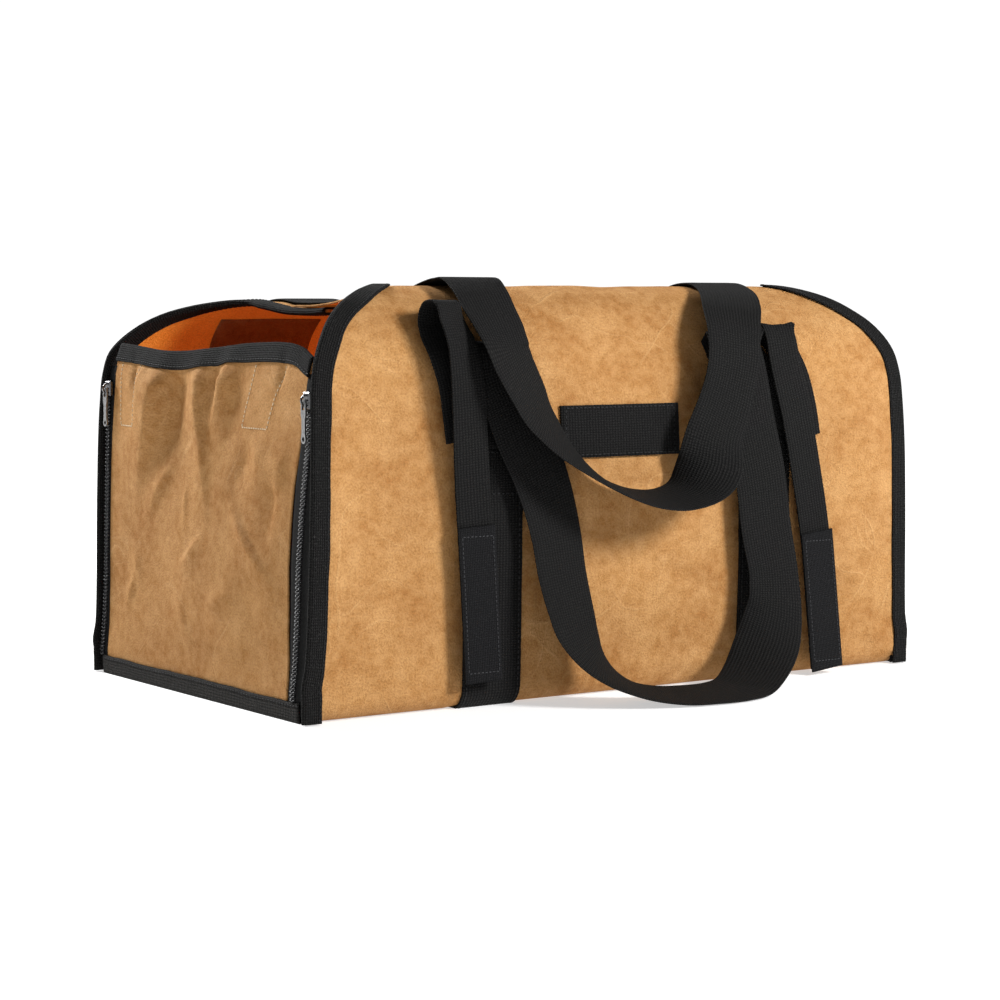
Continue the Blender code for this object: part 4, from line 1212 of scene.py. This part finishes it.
def wall_out(z):
    """Half depth of the long walls at a height."""
    return np.interp(z, WALL_ARRAY[:, 1], WALL_ARRAY[:, 0])


def coil(name, side, face, offset, node):
    """One coil of a zip: a wire that loops on its way up the tape."""
    turns = int((CHAIN_TOP - CHAIN_FOOT) / COIL_PITCH)
    t = np.linspace(0.0, turns * 2 * math.pi, turns * 12)
    z = CHAIN_FOOT + (CHAIN_TOP - CHAIN_FOOT) * t / t[-1]
    start = math.pi if offset > 0 else 0.0
    line = np.interp(z, CHAIN_ARRAY[:, 0], CHAIN_ARRAY[:, 1 if face < 0 else 2])
    y = line + offset + COIL_LOOP * np.cos(t + start)
    x = panel_base(z) + 0.0020 + COIL_RISE * np.sin(t)
    path = np.stack([side * x, face * y, z], axis=1)
    along = unit(np.gradient(path, axis=0))
    first = unit(np.cross(along, np.array([[0.0, 0.0, 1.0]])))
    second = np.cross(along, first)
    grid = []
    for k in range(4):
        angle = 2 * math.pi * k / 4
        grid.append(path + (first * math.cos(angle) + second * math.sin(angle)) * WIRE_RADIUS)
    points = np.stack(grid, axis=1)
    count = len(path)
    index = np.arange(count * 4).reshape(count, 4)
    after = np.roll(index, -1, axis=1)
    faces = np.stack([index[:-1], after[:-1], after[1:], index[1:]], axis=-1).reshape(-1, 4).tolist()
    faces += [index[0, ::-1].tolist(), index[-1].tolist()]
    piece = in_scene(name, new_mesh(name, points.reshape(-1, 3).tolist(), faces, [COIL]))
    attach(piece, BODY)
    if node:
        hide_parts(node)


for side, end in ((-1, "left"), (1, "right")):
    for face, face_name in ((-1, "front"), (1, "back")):
        tag = f"{end}_{face_name}"
        zs = np.linspace(ZIP_FOOT, ZIP_TOP, 60)[:, None]
        near = np.interp(zs, SIDE_ARRAY[:, 0], SIDE_ARRAY[:, 1 if face < 0 else 2]) - 0.004
        far = wall_out(zs) - 0.0034
        across = np.linspace(0.0, 1.0, 14)[None, :]
        ys = near + (far - near) * across
        sag = 0.0006 * np.sin(across * math.pi)
        xs = panel_base(zs) + sag - 0.0022 * (across < 0.2)
        outer = np.stack([side * (xs + 0.0005), face * ys, np.broadcast_to(zs, ys.shape)], axis=-1)
        inner = outer - np.array([side * 0.0010, 0.0, 0.0])
        tape = cloth("zip_cloth_" + tag, outer, inner, ys, zs[:, 0], [ZIP_TAPE])
        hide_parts("zip_tape_" + tag)
        coil("zip_coil_outer_" + tag, side, face, COIL_OFF, "zip_chain_" + tag)
        coil("zip_coil_inner_" + tag, side, face, -COIL_OFF, None)
        for part, finish in (("zip_slider_", GUN), ("zip_pull_", STEEL)):
            materials = frame["nodes"][part + tag].data.materials
            materials.clear()
            materials.append(finish)

# %% [markdown]
# ## Floor and light
# A pale floor under a dim sky that is bright low down on the side the camera looks at. One lamp stands
# to the front right, and another one, behind to the left, grazes the end wall.

# %% Stage
REACH = 30.0
floor_finish, floor_tree, floor_shader = new_finish("pale_floor", 0.9, specular=0.1)
floor_shader.inputs["Base Color"].default_value = (0.62, 0.62, 0.62, 1.0)
floor_shader.inputs["Emission Color"].default_value = (1.0, 1.0, 1.0, 1.0)
centre = add(floor_tree, "ShaderNodeTexCoord").outputs["Object"]
away = add(floor_tree, "ShaderNodeVectorMath", [("Vector", centre)], operation="LENGTH").outputs["Value"]
floor_tree.links.new(span(floor_tree, away, 0.5, 2.4, 0.52, 0.95), floor_shader.inputs["Emission Strength"])
corners = [(-REACH, -REACH, 0), (REACH, -REACH, 0), (REACH, REACH, 0), (-REACH, REACH, 0)]
floor = in_scene("floor", new_mesh("floor", corners, [(0, 1, 2, 3)], [floor_finish]))

BACKDROP_SIDE = (0.569, 0.822, 0.0)
SKY_GLOW = 0.21
BACKDROP_GLOW = 1.05
world = bpy.data.worlds.new("studio")
world.use_nodes = True
sky = world.node_tree
sky.nodes["Background"].inputs["Color"].default_value = (1.0, 1.0, 1.0, 1.0)
direction = add(sky, "ShaderNodeTexCoord").outputs["Generated"]
height = add(sky, "ShaderNodeSeparateXYZ", [("Vector", direction)]).outputs["Z"]
facing = add(sky, "ShaderNodeVectorMath", [("Vector", direction)], operation="DOT_PRODUCT")
facing.inputs[1].default_value = BACKDROP_SIDE
card = times(sky, span(sky, facing.outputs["Value"], 0.78, 0.88), span(sky, height, 0.22, 0.34, 1.0, 0.0))
glow = span(sky, card, 0.0, 1.0, SKY_GLOW, BACKDROP_GLOW)
sky.links.new(glow, sky.nodes["Background"].inputs["Strength"])
bpy.context.scene.world = world
bpy.context.scene.view_settings.view_transform = "Standard"

# Columns: name, place, size, power
LAMPS = [
    ("key", (0.92, -1.98, 1.25), 0.6, 76.0),
    ("side", (-0.80, 2.1, 1.9), 0.65, 126.0),
]
LIT_PLACE = Vector((0.0, 0.0, 0.12))
for name, place, size, power in LAMPS:
    data = bpy.data.lights.new(name, "AREA")
    data.size = size
    data.energy = power
    lamp = in_scene(name, data)
    lamp.location = place
    lamp.rotation_euler = (LIT_PLACE - Vector(place)).to_track_quat("-Z", "Y").to_euler()

# %% [markdown]
# ## Finish

# %% Finish
bpy.context.view_layer.update()
